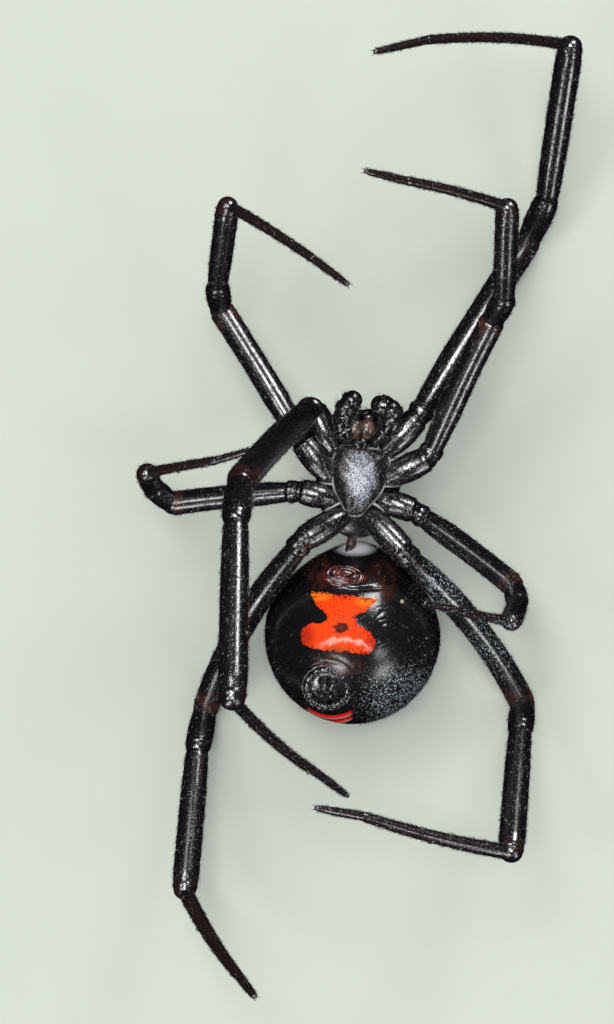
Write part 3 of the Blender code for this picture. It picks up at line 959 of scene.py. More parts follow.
@dataclass(frozen=True)
class LegPair:
    """Sizes that the two legs of a pair share, from coxa to tarsus, as the solids have them."""

    seat: Pair
    lengths: tuple[float, ...]
    radii: tuple[float, ...]
    femur_bow: float
    metatarsus_bow: float
    foot_radii: Pair
    brown: float


PAIRS = {
    1: LegPair(
        (0.83, 0.90), (1.35, 7.9, 1.7, 5.4, 6.2, 2.2), (0.40, 0.43, 0.42, 0.41),
        0.08, 0.16, (0.175, 0.135), 0.4,
    ),
    2: LegPair(
        (0.95, 0.06), (1.30, 4.9, 1.35, 3.2, 3.7, 1.5), (0.39, 0.39, 0.38, 0.35),
        0.05, 0.06, (0.17, 0.13), 1.0,
    ),
    3: LegPair(
        (0.84, -0.66), (0.95, 4.2, 1.15, 2.1, 2.7, 1.3), (0.37, 0.37, 0.35, 0.33),
        0.04, 0.05, (0.16, 0.125), 1.0,
    ),
    4: LegPair(
        (0.46, -1.20), (1.45, 7.6, 1.5, 4.6, 5.0, 1.6), (0.39, 0.41, 0.42, 0.41),
        0.32, 0.12, (0.235, 0.15), 1.0,
    ),
}

# Azimuth and elevation of each length in degrees, from the coxa outwards.
POSES = {
    (1, Side.LEFT): ((54, 0), (65, None), (74, 43), (91, 34), (-167, 43), (-153, 42)),
    (2, Side.LEFT): ((34, 0), (73, 23), (72, 63), (98, 38), (177, 35), (179, 38)),
    (3, Side.LEFT): ((-12, 0), (-29, -23), (-74, 61), (-119, 74), (175, 44), (173, 51)),
    (4, Side.LEFT): ((-39, 12), (-44, None), (-95, 60), (-90, 39), (172, 20), (175, 27)),
    (1, Side.RIGHT): ((125, 0), (-124, 67), (-88, 51), (-83, 25), (-39, -58), (-34, -55)),
    (2, Side.RIGHT): ((135, 0), (129, -13), (105, 63), (88, 44), (-27, 34), (-31, 32)),
    (3, Side.RIGHT): ((174, 0), (-167, -18), (145, 49), (105, 79), (17, 38), (23, 30)),
    (4, Side.RIGHT): ((-142, 12), (-112, None), (-93, 39), (-87, 22), (-42, 58), (-32, 65)),
}

# Rows of each length's skin, and its hairs: how many to a square millimetre, length and lean.
GROWTH = {
    Part.COXA: (40, 50, 0.12, 52),
    Part.TROCHANTER: (24, 45, 0.11, 48),
    Part.FEMUR: (110, 70, 0.12, 54),
    Part.PATELLA: (48, 70, 0.13, 50),
    Part.TIBIA: (80, 85, 0.13, 52),
    Part.METATARSUS: (80, 130, 0.13, 55),
    Part.TARSUS: (80, 170, 0.12, 58),
}


@dataclass(frozen=True)
class Prosoma:
    """Frame of the front body: the middle of the sternum from above, turned about Z."""

    place: Pair = (-0.48, 4.81)
    turn: float = 5.0

    def to_body(self, points: Array) -> Array:
        """Turns points about Z and moves them to the sternum's place."""
        points = np.asarray(points, float)
        x, y = turned(points[..., 0], points[..., 1], self.turn)
        return np.stack((x + self.place[0], y + self.place[1], points[..., 2]), -1)

    def mirrored(self, point: Triple, side: Side) -> Array:
        """A point of the front body on one of its sides, in the body's frame."""
        return self.to_body(np.array((point[0] * side.value, point[1], point[2])))


PROSOMA = Prosoma()


@dataclass
class Leg:
    """One leg: a skin of seven overlapping lengths, its hairs and its claws.

    Each claw is given by its place across the tip and its reach.
    """

    number: int
    side: Side
    femur_form: Form = (
        (0.0, 0.8), (0.05, 0.86), (0.25, 1.0), (0.6, 0.97), (0.9, 1.0), (0.965, 1.0), (1.0, 0.9),
    )
    patella_form: Form = ((0.0, 0.74), (0.12, 0.88), (0.5, 1.0), (0.85, 0.98), (1.0, 0.86))
    tibia_form: Form = ((0.0, 0.76), (0.05, 0.88), (0.3, 0.97), (0.9, 1.0), (1.0, 0.86))
    coxa_form: Form = (
        (0.0, 0.8), (0.2, 0.99), (0.4, 1.08), (0.6, 1.1), (0.8, 1.05), (0.93, 0.96), (1.0, 0.84),
    )
    ring_form: Form = ((0.0, 0.8), (0.3, 0.95), (0.7, 1.0), (1.0, 0.84))
    tarsus_form: Form = ((0.0, 0.92), (0.4, 0.88), (0.85, 0.74), (1.0, 0.55))
    claw_form: Form = ((0.0, 1.0), (0.5, 0.7), (1.0, 0.15))
    claws: Form = ((-0.035, 0.15), (0.035, 0.15), (0.0, 0.09))
    claw_radius: float = 0.018
    trochanter_length: float = 0.42
    trochanter_girth: float = 0.95
    femur_drop: float = 2.1
    columns: int = 44
    claw_grid: tuple[int, int] = (12, 8)

    @property
    def name(self) -> str:
        """Start of the names of the leg's nodes."""
        return f"leg_{self.number}_{self.side.word}"

    def joints(self) -> Array:
        """The seven joints from the seat of the coxa to the tip, as the solids have them.

        Each length runs from the joint before it at its azimuth and elevation. A femur with no
        elevation reaches down until its knee rests on the floor.

        Returns:
            (7, 3) places.
        """
        pair = PAIRS[self.number]
        joints = [PROSOMA.mirrored((*pair.seat, COXA_LEVEL), self.side)]
        for length, (azimuth, elevation) in zip(pair.lengths, POSES[self.number, self.side]):
            if elevation is None:
                up = -math.asin((joints[-1][2] - KNEE_REST) / length)
            else:
                up = math.radians(elevation)
            joints.append(joints[-1] + aimed(math.radians(azimuth), up) * length)
        return np.array(joints)

    def limbs(self) -> dict[Part, Limb]:
        """The seven lengths as tubes."""
        j, pair = self.joints(), PAIRS[self.number]
        coxa, femur, patella, tibia = pair.radii
        thick, thin = pair.foot_radii
        out = (j[1] + j[2]) / 2 - np.array((0.0, 0.0, self.femur_drop))
        ring = j[1] + unit(j[2] - j[1]) * self.trochanter_length
        foot, arch = ((0.0, 1.0), (0.5, 0.86), (1.0, thin / thick)), (j[4] + j[5]) / 2 - j[3]
        girth = femur * self.trochanter_girth
        return {
            Part.COXA: Limb(j[0], j[1], coxa, self.coxa_form, rim=0.05),
            Part.TROCHANTER: Limb(j[1], ring, girth, self.ring_form, rim=0.04),
            Part.FEMUR: Limb(ring, j[2], femur, self.femur_form, pair.femur_bow, out, rim=0.05),
            Part.PATELLA: Limb(j[2], j[3], patella, self.patella_form, rim=0.05),
            Part.TIBIA: Limb(j[3], j[4], tibia, self.tibia_form, rim=0.06),
            Part.METATARSUS: Limb(j[4], j[5], thick, foot, pair.metatarsus_bow, arch, rim=0.05),
            Part.TARSUS: Limb(j[5], j[6], thin, self.tarsus_form),
        }

    def build(self, finish: Finish, horn: Finish) -> None:
        """Makes the skin, which stands for the leg's nodes, and the claws.

        Args:
            finish: the skin's material.
            horn: the claws' material.
        """
        skin, limbs = Mould(), self.limbs()
        for part, limb in limbs.items():
            limb.cast(skin, GROWTH[part][0], self.columns, part.value)
        piece = skin.piece(f"{self.name}_skin", finish)
        nodes = ("coxa", "femur", "patella", "tibia", "tarsus")
        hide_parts(*(f"{self.name}_{node}" for node in nodes))
        claws = self.claw_limbs(limbs[Part.TARSUS])
        tubes(f"{self.name}_claws", horn, claws, *self.claw_grid)

    def claw_limbs(self, toe: Limb) -> list[Limb]:
        """Three curved claws at the tip: two long ones side by side and a short one between."""
        _, way, up, side = toe.spine(np.array(1.0))
        claws = []
        for across, reach in self.claws:
            root = toe.start + toe.chord + side * across - way * 0.03
            end = root + way * reach - up * reach * 0.75 + side * across * 1.2
            bow, push = 0.3 * reach, up + 0.4 * way
            claws.append(Limb(root, end, self.claw_radius, self.claw_form, bow, push))
        return claws

    def coat(self, finish: Finish) -> None:
        """Sets short leaning hairs on every length, finer and longer towards the foot."""
        draw = np.random.default_rng(100 * self.number + self.side.value)
        coat = Mould()
        for part, limb in self.limbs().items():
            coat.hairs(limb.hairs(draw, *GROWTH[part][1:], part.value))
        coat.piece(f"{self.name}_coat", finish, "OFBake")


@dataclass(frozen=True)
class Bell:
    """A swelling or a dent: its height, its middle on the chart, and its half widths."""

    height: float
    middle: Pair
    half: Pair

    def on(self, x: Array, y: Array) -> Array:
        """The height times a bell across and a bell along."""
        across = hill(x, self.middle[0], self.half[0])
        return self.height * across * hill(y, self.middle[1], self.half[1])


@dataclass
class Abdomen:
    """The abdomen: an egg with folds, the epigynum, the spinnerets and a thin coat.

    The cones are rows of place ahead, place across, radius and length. The collar and the outer
    ring have a radius, a half thickness and a height over the belly. The mound runs between two
    heights and has a radius.
    """

    level: float = 2.1
    half_width: float = 2.74
    front: float = 2.85
    rear: float = 2.82
    up: float = 3.2
    down: float = 2.2
    front_taper: float = 0.25
    front_drop: float = 0.1
    rows: int = 230
    columns: int = 380
    crowding: float = 0.16
    furrow: Bell = Bell(-0.07, (0.42, 0.93), (0.95, 0.05))
    pits: tuple[Bell, ...] = (
        Bell(-0.05, (0.0, -0.23), (0.17, 0.10625)),
        *(Bell(-0.02, (x, y), (0.1, 0.1)) for x in (-0.62, 0.62) for y in (0.35, -0.45)),
    )
    swellings: tuple[Bell, ...] = (
        Bell(0.03, (-0.68, 1.5), (0.32, 0.32)), Bell(0.05, (1.3, 1.1), (0.36, 0.514286)),
        Bell(0.24, (0.46, 2.2), (0.54, 0.27)),
    )
    collar_on_chart: Pair = (-0.42, -2.06)
    spinneret_seat: Pair = (-0.6, -1.64)
    spinneret_lean: float = 24.0
    collar: Triple = (0.62, 0.1, 0.05)
    outer_ring: Triple = (0.75, 0.05, -0.01)
    mound: Triple = (-0.2, -0.06, 0.56)
    mound_form: Form = ((0.0, 1.0), (1.0, 1.0))
    epigynum_place: Pair = (-0.5, 1.76)
    epigynum_half: Triple = (0.72, 0.4, 0.2)
    epigynum_tilt: float = -30.0
    cone_form: Form = ((0.0, 1.0), (0.45, 0.95), (0.55, 0.84), (0.85, 0.74), (1.0, 0.5))
    cone_sizes: tuple[tuple[float, ...], ...] = (
        (0.22, 0.17, 0.16, 0.46), (-0.02, 0.1, 0.08, 0.36), (-0.22, 0.2, 0.14, 0.42),
    )
    hair_count: int = 7000
    bristle_count: int = 130

    def egg(self, ball: Array) -> tuple[Array, Array]:
        """The egg of the solids over a unit ball, and its outward normals.

        Each point is the ball's, times the half sizes. Ahead of the middle the width and the
        height shrink with the square of the distance.

        Args:
            ball: points of a unit ball.

        Returns:
            The points and the normals.
        """
        ahead = np.maximum(ball[..., 1], 0.0) ** 2
        across = self.half_width * (1.0 - self.front_taper * ahead)
        along = np.where(ball[..., 1] > 0, self.front, self.rear)
        rise = np.where(ball[..., 2] > 0, self.up * (1.0 - self.front_drop * ahead), self.down)
        size = np.stack((across, along, rise), -1)
        return ball * size + np.array((0.0, 0.0, self.level)), unit(ball / size)

    def belly(self, x: float, y: float) -> Array:
        """The point of the belly over a place on the floor."""
        share = y / (self.front if y > 0 else self.rear)
        across = x / (self.half_width * (1.0 - self.front_taper * max(share, 0.0) ** 2))
        height = math.sqrt(1.0 - share * share - across * across)
        return self.egg(np.array((across, share, height)))[0]

    def relief(self, points: Array) -> Array:
        """Height of the folds over the egg, in millimetres, on the side of the belly.

        Cross furrows behind the epigynum, rings round the spinnerets' collar, short folds at
        both sides of the hourglass, fine waves, dimples of the muscles, broad swellings and a
        crease. Each is a sine or a bell, times bells that keep it to its place.

        Args:
            points: places on the egg.

        Returns:
            A height for each.
        """
        x, y = on_chart(points)
        folds = sum(bell.on(x, y) for bell in (self.furrow, *self.pits, *self.swellings))
        folds -= 0.03 * hill(y + 0.1 * np.sin(3.0 * x), 1.02, 0.05) * hill(x, 0.42, 0.8)
        gap = np.hypot(x - self.collar_on_chart[0], y - self.collar_on_chart[1]) - 0.78
        rings = 0.008 * np.sin(2 * np.pi * gap / 0.24) * np.exp(-np.maximum(gap, 0.0) / 0.14)
        folds += rings * smooth(-0.05, 0.1, gap)
        wander = 0.06 * np.sin(9.0 * x + 2.3 * y) + 0.035 * np.sin(17.0 * y + 5.0 * x)
        zigzag = 0.016 * np.sin(2 * np.pi * (y - 0.5 * x + wander) / 0.2)
        zigzag *= (hill(x, 1.27, 0.14) + hill(x, -1.25, 0.12)) * hill(y, -0.15, 0.55)
        folds += zigzag * (0.6 + 0.4 * np.sin(7.0 * y + 11.0 * x))
        waves = 0.003 * np.sin(11.0 * y + 3.0 * np.sin(2.3 * x))
        folds += waves * hill(x, 0.0, 1.0) * hill(y, -0.15, 0.9)
        folds += 0.02 * np.sin(2.1 * x + 1.0) * np.sin(1.7 * y)
        folds -= 0.03 * hill(y + 1.02 + 0.3 * (x + 1.2), 0.0, 0.025) * hill(x, -0.85, 0.55)
        return folds * smooth(2.2, 3.2, points[..., 2])

    def skin(self, finish: Finish) -> None:
        """Makes the egg with its folds, flat where it rests, with rows closer on the belly."""
        ball, along = ball_grid(self.rows, self.columns, self.crowding)
        points, out = self.egg(ball)
        points = points + out * self.relief(points)[..., None]
        points[..., 2] = np.maximum(points[..., 2], 0.0)
        piece = moulded("abdomen_skin", finish, points, along)
        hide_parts("abdomen")

    def seat(self) -> tuple[Array, Array, Array]:
        """Where the spinnerets stand, the way they point, leaning back, and the way ahead."""
        lean = math.radians(self.spinneret_lean)
        axis = np.array((0.0, -math.sin(lean), math.cos(lean)))
        return self.belly(*self.spinneret_seat), axis, np.cross(axis, ACROSS)

    def ring(self, mould: Mould, radius: float, thick: float, lift: float) -> None:
        """Adds a closed ring about the spinnerets' axis, swollen in turns like a hem.

        Each point is the centre plus the radius and a small circle about it. The grid runs round
        the small circle and closes onto itself at its first and last rows.

        Args:
            mould: the mould to add to.
            radius: the ring's radius.
            thick: its mean half thickness.
            lift: its height over the belly.
        """
        seat, axis, ahead = self.seat()
        turn, around = turns(240), np.linspace(0.0, 2 * np.pi, 26)[:-1, None]
        hem = thick * (1.0 + 0.2 * np.sin(13 * turn) + 0.15 * np.sin(22 * turn + 1.0))
        reach = radius - hem * np.cos(around)
        across, along, high = reach * np.cos(turn), reach * np.sin(turn), hem * np.sin(around)
        ways = across[..., None] * ACROSS - along[..., None] * ahead - high[..., None] * axis
        mould.loop_grid(seat + axis * lift + ways)

    def cones(self) -> list[Limb]:
        """The six spinnerets, each a cone of two lengths that leans in."""
        seat, axis, ahead = self.seat()
        cones = []
        for front, across, radius, length in self.cone_sizes:
            for side in Side:
                foot = seat - axis * 0.1 + ahead * front + ACROSS * across * side.value
                lean_in = ACROSS * 0.07 * side.value + ahead * (0.4 * front)
                cones.append(Limb(foot, foot + axis * length - lean_in, radius, self.cone_form))
        return cones

    def spinnerets(self, finish: Finish) -> None:
        """Makes the collar and the six spinnerets inside it, on a low mound."""
        seat, axis, _ = self.seat()
        mould, hem = Mould(), Mould()
        low, high, radius = self.mound
        mound = Limb(seat + axis * low, seat + axis * high, radius, self.mound_form, blunt=0.15)
        mound.cast(mould, 12, 48)
        for cone in self.cones():
            cone.cast(mould, 26, 28)
        piece = mould.piece("spinnerets_skin", finish)
        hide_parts("spinnerets")
        self.ring(hem, *self.collar)
        self.ring(hem, *self.outer_ring)
        hem.piece("spinneret_collar", finish)

    def bristles(self, draw: np.random.Generator) -> Hairs:
        """Bristles on the collar, which point up and in."""
        seat, axis, ahead = self.seat()
        turn = draw.uniform(0.0, 2 * np.pi, self.bristle_count)
        out = np.cos(turn)[:, None] * ACROSS - np.sin(turn)[:, None] * ahead
        reach = self.collar[0] + draw.normal(0.0, 0.05, len(turn))[:, None]
        stems = unit(axis - 0.5 * out + draw.normal(0.0, 0.35, out.shape))
        places = np.stack((turn / (2 * np.pi), np.full(len(turn), 0.9)), -1)
        lengths = 0.15 * draw.uniform(0.6, 1.3, len(turn))
        roots = seat + axis * 0.11 + out * reach
        return Hairs(roots, stems, square_to(-out, stems), lengths, places, 0.007)

    def epigynum(self, finish: Finish) -> None:
        """Makes the raised plate: a low oval dome with three rims about a pit.

        The height is the root of one minus the square of the distance from the middle, plus
        three bells at fixed distances, less one bell in the middle.

        Args:
            finish: its material.
        """
        share = np.sin(np.linspace(0.0, np.pi / 2, 60))[:, None]
        turn = turns(96)
        dome = np.sqrt(np.clip(1.0 - share**2, 0.0, 1.0))
        lower = 0.5 - 0.5 * np.sin(turn)
        rims = 0.16 * hill(share, 0.55, 0.05) + 0.14 * hill(share, 0.36, 0.045) * lower
        rims = rims + 0.12 * hill(share, 0.78, 0.05) - 0.55 * hill(share, 0.0, 0.2)
        high = dome * 0.9 + rims * smooth(1.0, 0.9, share)
        top = np.stack((share * np.cos(turn), share * np.sin(turn), high), -1) * self.epigynum_half
        base = top[-2:-1] * (1.0, 1.0, 0.0) - (0.0, 0.0, 0.2)
        grid = np.concatenate((base * (0.0, 0.0, 1.0), base, top[::-1]))
        tilted = turned(grid[..., 1], grid[..., 2], self.epigynum_tilt)
        grid = np.stack((grid[..., 0], *tilted), -1) + self.belly(*self.epigynum_place)
        moulded("epigynum", finish, grid, np.linspace(0.0, 1.0, len(grid)))

    def coat(self, finish: Finish) -> None:
        """Sets short hairs over the egg, thin on the hourglass, and round the spinnerets.

        Hairs are drawn all over the egg, and some are kept by chance: few near the hourglass,
        more low on the left, and none in the collar or on the rear stripes.

        Args:
            finish: the hairs' material.
        """
        draw = np.random.default_rng(11)
        ball = unit(draw.normal(size=(self.hair_count, 3)))
        points, out = self.egg(ball)
        (x, y), z = on_chart(points), points[:, 2]
        bare = hill(np.hypot(x * 0.8, y), 0.0, 1.0) * (z > 3.0)
        patch = hill(np.hypot((x - 1.7) / 1.5, (y + 2.1) / 1.3), 0.0, 1.0) * (z > 1.5)
        inside = np.hypot(x - self.collar_on_chart[0], y - self.collar_on_chart[1]) < 0.75
        striped = (np.abs(x + 0.3) < 0.9) & (y < -2.85)
        chance = draw.uniform(size=len(ball))
        keep = (z > 0.15) & (chance > 0.93 * bare) & (chance < 0.45 + 0.55 * patch)
        keep &= ~inside & ~striped
        points, out, ball = points[keep], out[keep], ball[keep]
        points = points + out * self.relief(points)[..., None]
        back = square_to(np.broadcast_to((0.0, -1.0, -0.15), out.shape), out)
        back = square_to(back + draw.normal(0.0, 0.55, out.shape), out)
        stems = unit(out + 0.8 * back + draw.normal(0.0, 0.3, out.shape))
        lengths = 0.11 * draw.uniform(0.5, 1.3, len(out))
        mould = Mould()
        mould.hairs(Hairs(points, stems, back, lengths, ball_places(ball)))
        for number, cone in enumerate(self.cones()):
            mould.hairs(cone.hairs(draw, 130, 0.16, 25, number, span=(0.4, 1.0)))
        mould.hairs(self.bristles(draw))
        piece = mould.piece("abdomen_coat", finish, "OFBake")


@dataclass
class FrontBody:
    """Carapace, sternum, waist, mouth, fangs, palps and eyes.

    The eyes' rows are at a height in degrees, and each eye has a radius and an azimuth.
    """

    carapace_level: float = 3.72
    carapace_half_width: float = 1.3
    carapace_front: float = 2.1
    carapace_rear: float = 1.85
    carapace_up: float = 0.45
    carapace_down: float = 0.78
    neck_pinch: float = 0.16
    head_spread: float = 0.3
    pit: float = -0.25
    shield_grid: tuple[int, int] = (90, 130)
    sternum_level: float = 4.64
    sternum_half: Pair = (0.85, 0.36)
    sternum_front: float = 0.92
    sternum_rear: float = 1.2
    sternum_point: float = 0.42
    sternum_turn: float = -6.0
    membrane: Pair = (0.06, 0.12)
    seam_form: Form = ((0.0, 1.0), (0.4, 0.7), (0.7, 0.85), (1.0, 0.5))
    seam_radius: float = 0.05
    seams: tuple[tuple[Triple, Triple], ...] = (
        ((0.5, 0.85, 4.56), (0.8, 1.3, 4.4)),
        ((0.6, 0.42, 4.6), (1.15, 0.66, 4.42)),
        ((0.62, -0.24, 4.62), (1.3, -0.2, 4.42)),
        ((0.45, -0.74, 4.56), (1.0, -1.05, 4.44)),
    )
    waist_ends: tuple[Triple, Triple] = ((0.0, -1.1, 3.72), (-0.46, 2.3, 3.3))
    waist_radius: float = 0.16
    waist_knots: int = 13
    waist_groove: float = 0.14
    lobe_form: Form = ((0.0, 0.75), (0.4, 0.95), (0.8, 1.0), (1.0, 0.85))
    lobe_ends: tuple[Triple, Triple] = ((0.19, 1.34, 4.66), (0.18, 1.6, 4.78))
    lobe_radius: float = 0.275
    lip_ends: tuple[Triple, Triple] = ((0.0, 0.95, 4.68), (0.0, 1.12, 4.68))
    lip_radius: float = 0.2
    jaw_form: Form = ((0.0, 0.95), (0.35, 1.0), (0.75, 0.95), (1.0, 0.8))
    jaw_ends: tuple[Triple, Triple] = ((0.27, 1.7, 3.95), (0.23, 1.88, 4.6))
    jaw_radius: float = 0.29
    fang_form: Form = ((0.0, 1.0), (0.4, 0.75), (0.8, 0.4), (1.0, 0.15))
    fang_ends: tuple[Triple, Triple] = ((0.2, 1.98, 4.8), (0.04, 1.93, 4.94))
    fang_radius: float = 0.08
    fang_bow: float = 0.07
    fang_inside: Triple = (0.1, 1.9, 4.7)
    palp_form: Form = ((0.0, 0.82), (0.3, 1.0), (0.85, 1.0), (1.0, 0.86))
    palp_radii: tuple[float, ...] = (0.3, 0.34, 0.34, 0.33)
    palps: dict[Side, tuple[Triple, ...]] = field(
        default_factory=lambda: {
            Side.LEFT: (
                (0.5, 1.22, 4.7), (0.78, 1.5, 4.88), (0.97, 1.85, 4.96), (0.88, 2.15, 4.96),
                (0.5, 2.24, 4.9),
            ),
            Side.RIGHT: (
                (-0.44, 1.22, 4.7), (-0.57, 1.5, 4.86), (-0.56, 1.9, 4.92), (-0.42, 2.2, 4.95),
                (-0.26, 2.38, 4.92),
            ),
        }
    )
    eyes: dict[str, tuple[float, dict[str, Pair]]] = field(
        default_factory=lambda: {
            "front": (-8.0, {"median": (0.085, 9.0), "side": (0.075, 27.0)}),
            "rear": (-30.0, {"median": (0.08, 11.0), "side": (0.075, 33.0)}),
        }
    )

    def carapace_shape(self, ball: Array) -> Array:
        """A flat dome, pinched at the neck by a sine and spread at the head by a cube.

        Grooves run out from a pit in the middle of the back, and a line parts off the head.

        Args:
            ball: points of a unit ball.

        Returns:
            The points in the front body's frame.
        """
        ahead = np.maximum(ball[..., 1], 0.0)
        pinch = 1.0 - self.neck_pinch * np.sin(np.pi * ahead) + self.head_spread * ahead**3
        along = np.where(ball[..., 1] > 0, self.carapace_front, self.carapace_rear)
        rise = np.where(ball[..., 2] > 0, self.carapace_up, self.carapace_down)
        points = ball * np.stack((self.carapace_half_width * pinch, along, rise), -1)
        x, y = points[..., 0], points[..., 1]
        far, around = np.hypot(x, y - self.pit), np.arctan2(x, y - self.pit)
        rays = 0.5 + 0.5 * np.cos(7 * around)
        dent = 0.05 * rays**6 * hill(far, 0.65, 0.35) + 0.12 * hill(far, 0.0, 0.16)
        dent = dent + 0.05 * hill(y - 0.55 - 0.5 * np.abs(x), 0.0, 0.07) * (np.abs(x) > 0.02)
        points[..., 2] += self.carapace_level + dent * smooth(0.0, 0.4, -ball[..., 2])
        return points

    def sternum_shape(self, ball: Array, grow: float = 0.0) -> Array:
        """A shield drawn to a point behind, with dents in its rim opposite the coxae.

        Its front half is square with round corners: a superellipse of the seventh power.

        Args:
            ball: points of a unit ball.
            grow: how far the rim is moved out.

        Returns:
            The points in the front body's frame.
        """
        behind, ahead = np.maximum(-ball[..., 1], 0.0), ball[..., 1] > 0
        along = np.where(ahead, self.sternum_front, self.sternum_rear) + grow
        across = self.sternum_half[0] * (1.0 - self.sternum_point * behind) + grow
        turn = np.arctan2(ball[..., 0], ball[..., 1])
        rim = np.hypot(ball[..., 0], ball[..., 1])
        square = (np.abs(np.cos(turn)) ** 7 + np.abs(np.sin(turn)) ** 7) ** (-1 / 7)
        notch = 1.0 - 0.04 * smooth(0.6, 1.0, rim) * (0.5 + 0.5 * np.cos(8 * turn + 0.4))
        notch = notch * np.where(ahead, square, 1.0)
        high = np.broadcast_to(self.sternum_half[1], notch.shape)
        points = ball * np.stack((across * notch, along * notch, high), -1)
        waves = 0.02 * np.cos(8 * turn + 0.4) * hill(rim, 0.72, 0.2)
        waves = waves + 0.012 * np.sin(9.0 * points[..., 0] + 2.0) * np.sin(7.0 * points[..., 1])
        level = points[..., 2] + self.sternum_level + waves * (ball[..., 2] > 0)
        return np.stack((*turned(points[..., 0], points[..., 1], self.sternum_turn), level), -1)

    def shields(self, black: Finish, painted_sheen: Finish, rose: Finish) -> None:
        """Makes the carapace, the sternum, and the membrane that shows as a line round it.

        Args:
            black: the carapace's material.
            painted_sheen: the sternum's, with its painted sheen.
            rose: the membrane's.
        """
        ball, along = ball_grid(*self.shield_grid)
        grid = PROSOMA.to_body(self.carapace_shape(ball))
        piece = moulded("carapace_skin", black, grid, along)
        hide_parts("carapace")
        grid = PROSOMA.to_body(self.sternum_shape(ball))
        piece = moulded("sternum_skin", painted_sheen, grid, along)
        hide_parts("sternum")
        mould, (grow, sink) = Mould(), self.membrane
        under = self.sternum_shape(ball, grow) - np.array((0.0, 0.0, sink))
        mould.closed_grid(PROSOMA.to_body(under), along)
        for side in Side:
            for seam in self.seams:
                ends = self.between(seam, side)
                Limb(*ends, self.seam_radius, self.seam_form).cast(mould, 24, 16)
        mould.piece("sternum_membrane", rose)

    def waist(self, rose: Finish) -> None:
        """Makes the ringed waist between the two halves of the body."""
        front, rear = self.waist_ends
        shares = enumerate(np.linspace(0.0, 1.0, self.waist_knots))
        form = tuple((float(s), 1.0 - self.waist_groove * (number % 2)) for number, s in shares)
        tube = Limb(PROSOMA.to_body(np.array(front)), np.array(rear), self.waist_radius, form)
        piece = tubes("pedicel_skin", rose, [tube], 70, 36)
        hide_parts("pedicel")

    def between(self, ends: tuple[Triple, Triple], side: Side) -> list[Array]:
        """The two ends of a tube on one side, in the body's frame."""
        return [PROSOMA.mirrored(end, side) for end in ends]

    def lobes(self) -> list[Limb]:
        """The two maxillae, which lean together in front."""
        pairs = (self.between(self.lobe_ends, side) for side in Side)
        return [Limb(*pair, self.lobe_radius, self.lobe_form) for pair in pairs]

    def lip(self) -> Limb:
        """The labium, behind the maxillae."""
        ends = self.between(self.lip_ends, Side.LEFT)
        return Limb(*ends, self.lip_radius, self.lobe_form, flat=1.5)

    def jaws(self, side: Side) -> tuple[Limb, Limb]:
        """A chelicera and the fang folded across its tip."""
        jaw = Limb(*self.between(self.jaw_ends, side), self.jaw_radius, self.jaw_form)
        root, point = self.between(self.fang_ends, side)
        out = root - PROSOMA.mirrored(self.fang_inside, side)
        return jaw, Limb(root, point, self.fang_radius, self.fang_form, self.fang_bow, out)

    def palp(self, side: Side) -> list[Limb]:
        """The lengths of a palp."""
        joints = PROSOMA.to_body(np.array(self.palps[side]))
        pairs = zip(joints[:-1], joints[1:], self.palp_radii)
        return [Limb(start, end, radius, self.palp_form, rim=0.02) for start, end, radius in pairs]

    def mouth(self, black: Finish, brown: Finish, horn: Finish) -> None:
        """Makes the maxillae with the labium, the chelicerae, the fangs and the palps.

        Args:
            black: material of the labium, the chelicerae and the palps.
            brown: the maxillae's.
            horn: the fangs'.
        """
        piece = tubes("mouthparts_skin", brown, self.lobes(), 30, 36)
        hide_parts("mouthparts")
        tubes("labium_skin", black, [self.lip()], 24, 36)
        for side in Side:
            jaw, fang = self.jaws(side)
            piece = tubes(f"chelicera_{side.word}_skin", black, [jaw], 36, 36)
            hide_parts(f"chelicera_{side.word}")
            tubes(f"fang_{side.word}", horn, [fang], 24, 14)
            piece = tubes(f"palp_{side.word}_skin", black, self.palp(side), 30, 36)
            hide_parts(f"palp_{side.word}")

    def lenses(self, finish: Finish) -> None:
        """Makes the eight eyes, each a ball half sunk in the head."""
        ball, along = ball_grid(20, 28)
        for row, (height, places) in self.eyes.items():
            for place, (radius, across) in places.items():
                for side in Side:
                    way = aimed(math.radians(90.0 - across * side.value), math.radians(height))
                    eye = ball * radius + PROSOMA.to_body(self.carapace_shape(way))
                    piece = moulded(f"lens_{row}_{place}_{side.word}", finish, eye, along)
                    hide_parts(f"eye_{row}_{place}_{side.word}")

    def coat(self, finish: Finish) -> None:
        """Sets hairs on the shields, the mouth, the chelicerae and the palps."""
        draw = np.random.default_rng(23)
        mould = Mould()
        for count, shape, near in (
            (900, self.carapace_shape, (0.0, 1.0, 0.2)),
            (520, self.sternum_shape, (0.0, -1.0, 0.1)),
        ):
            ball = unit(draw.normal(size=(count, 3)))
            points = shape(ball)
            out = unit((points - shape(np.zeros(3))) / (np.array((1.0, 1.3, 0.35)) ** 2))
            lie = square_to(np.broadcast_to(near, out.shape), out)
            stems = unit(out + 0.7 * lie + draw.normal(0.0, 0.15, out.shape))
            zero = PROSOMA.to_body(np.zeros(3))
            roots, *ways = map(PROSOMA.to_body, (points, stems, lie))
            lengths = 0.12 * draw.uniform(0.6, 1.3, count)
            stems, lie = (way - zero for way in ways)
            mould.hairs(Hairs(roots, stems, lie, lengths, ball_places(ball), 0.006))
        for lobe in self.lobes():
            mould.hairs(lobe.hairs(draw, 90, 0.16, 45, span=(0.3, 1.0)))
        for side in Side:
            mould.hairs(self.jaws(side)[0].hairs(draw, 110, 0.16, 45))
            for length in self.palp(side):
                mould.hairs(length.hairs(draw, 60, 0.18, 40))
        mould.piece("front_body_coat", finish, "OFBake")


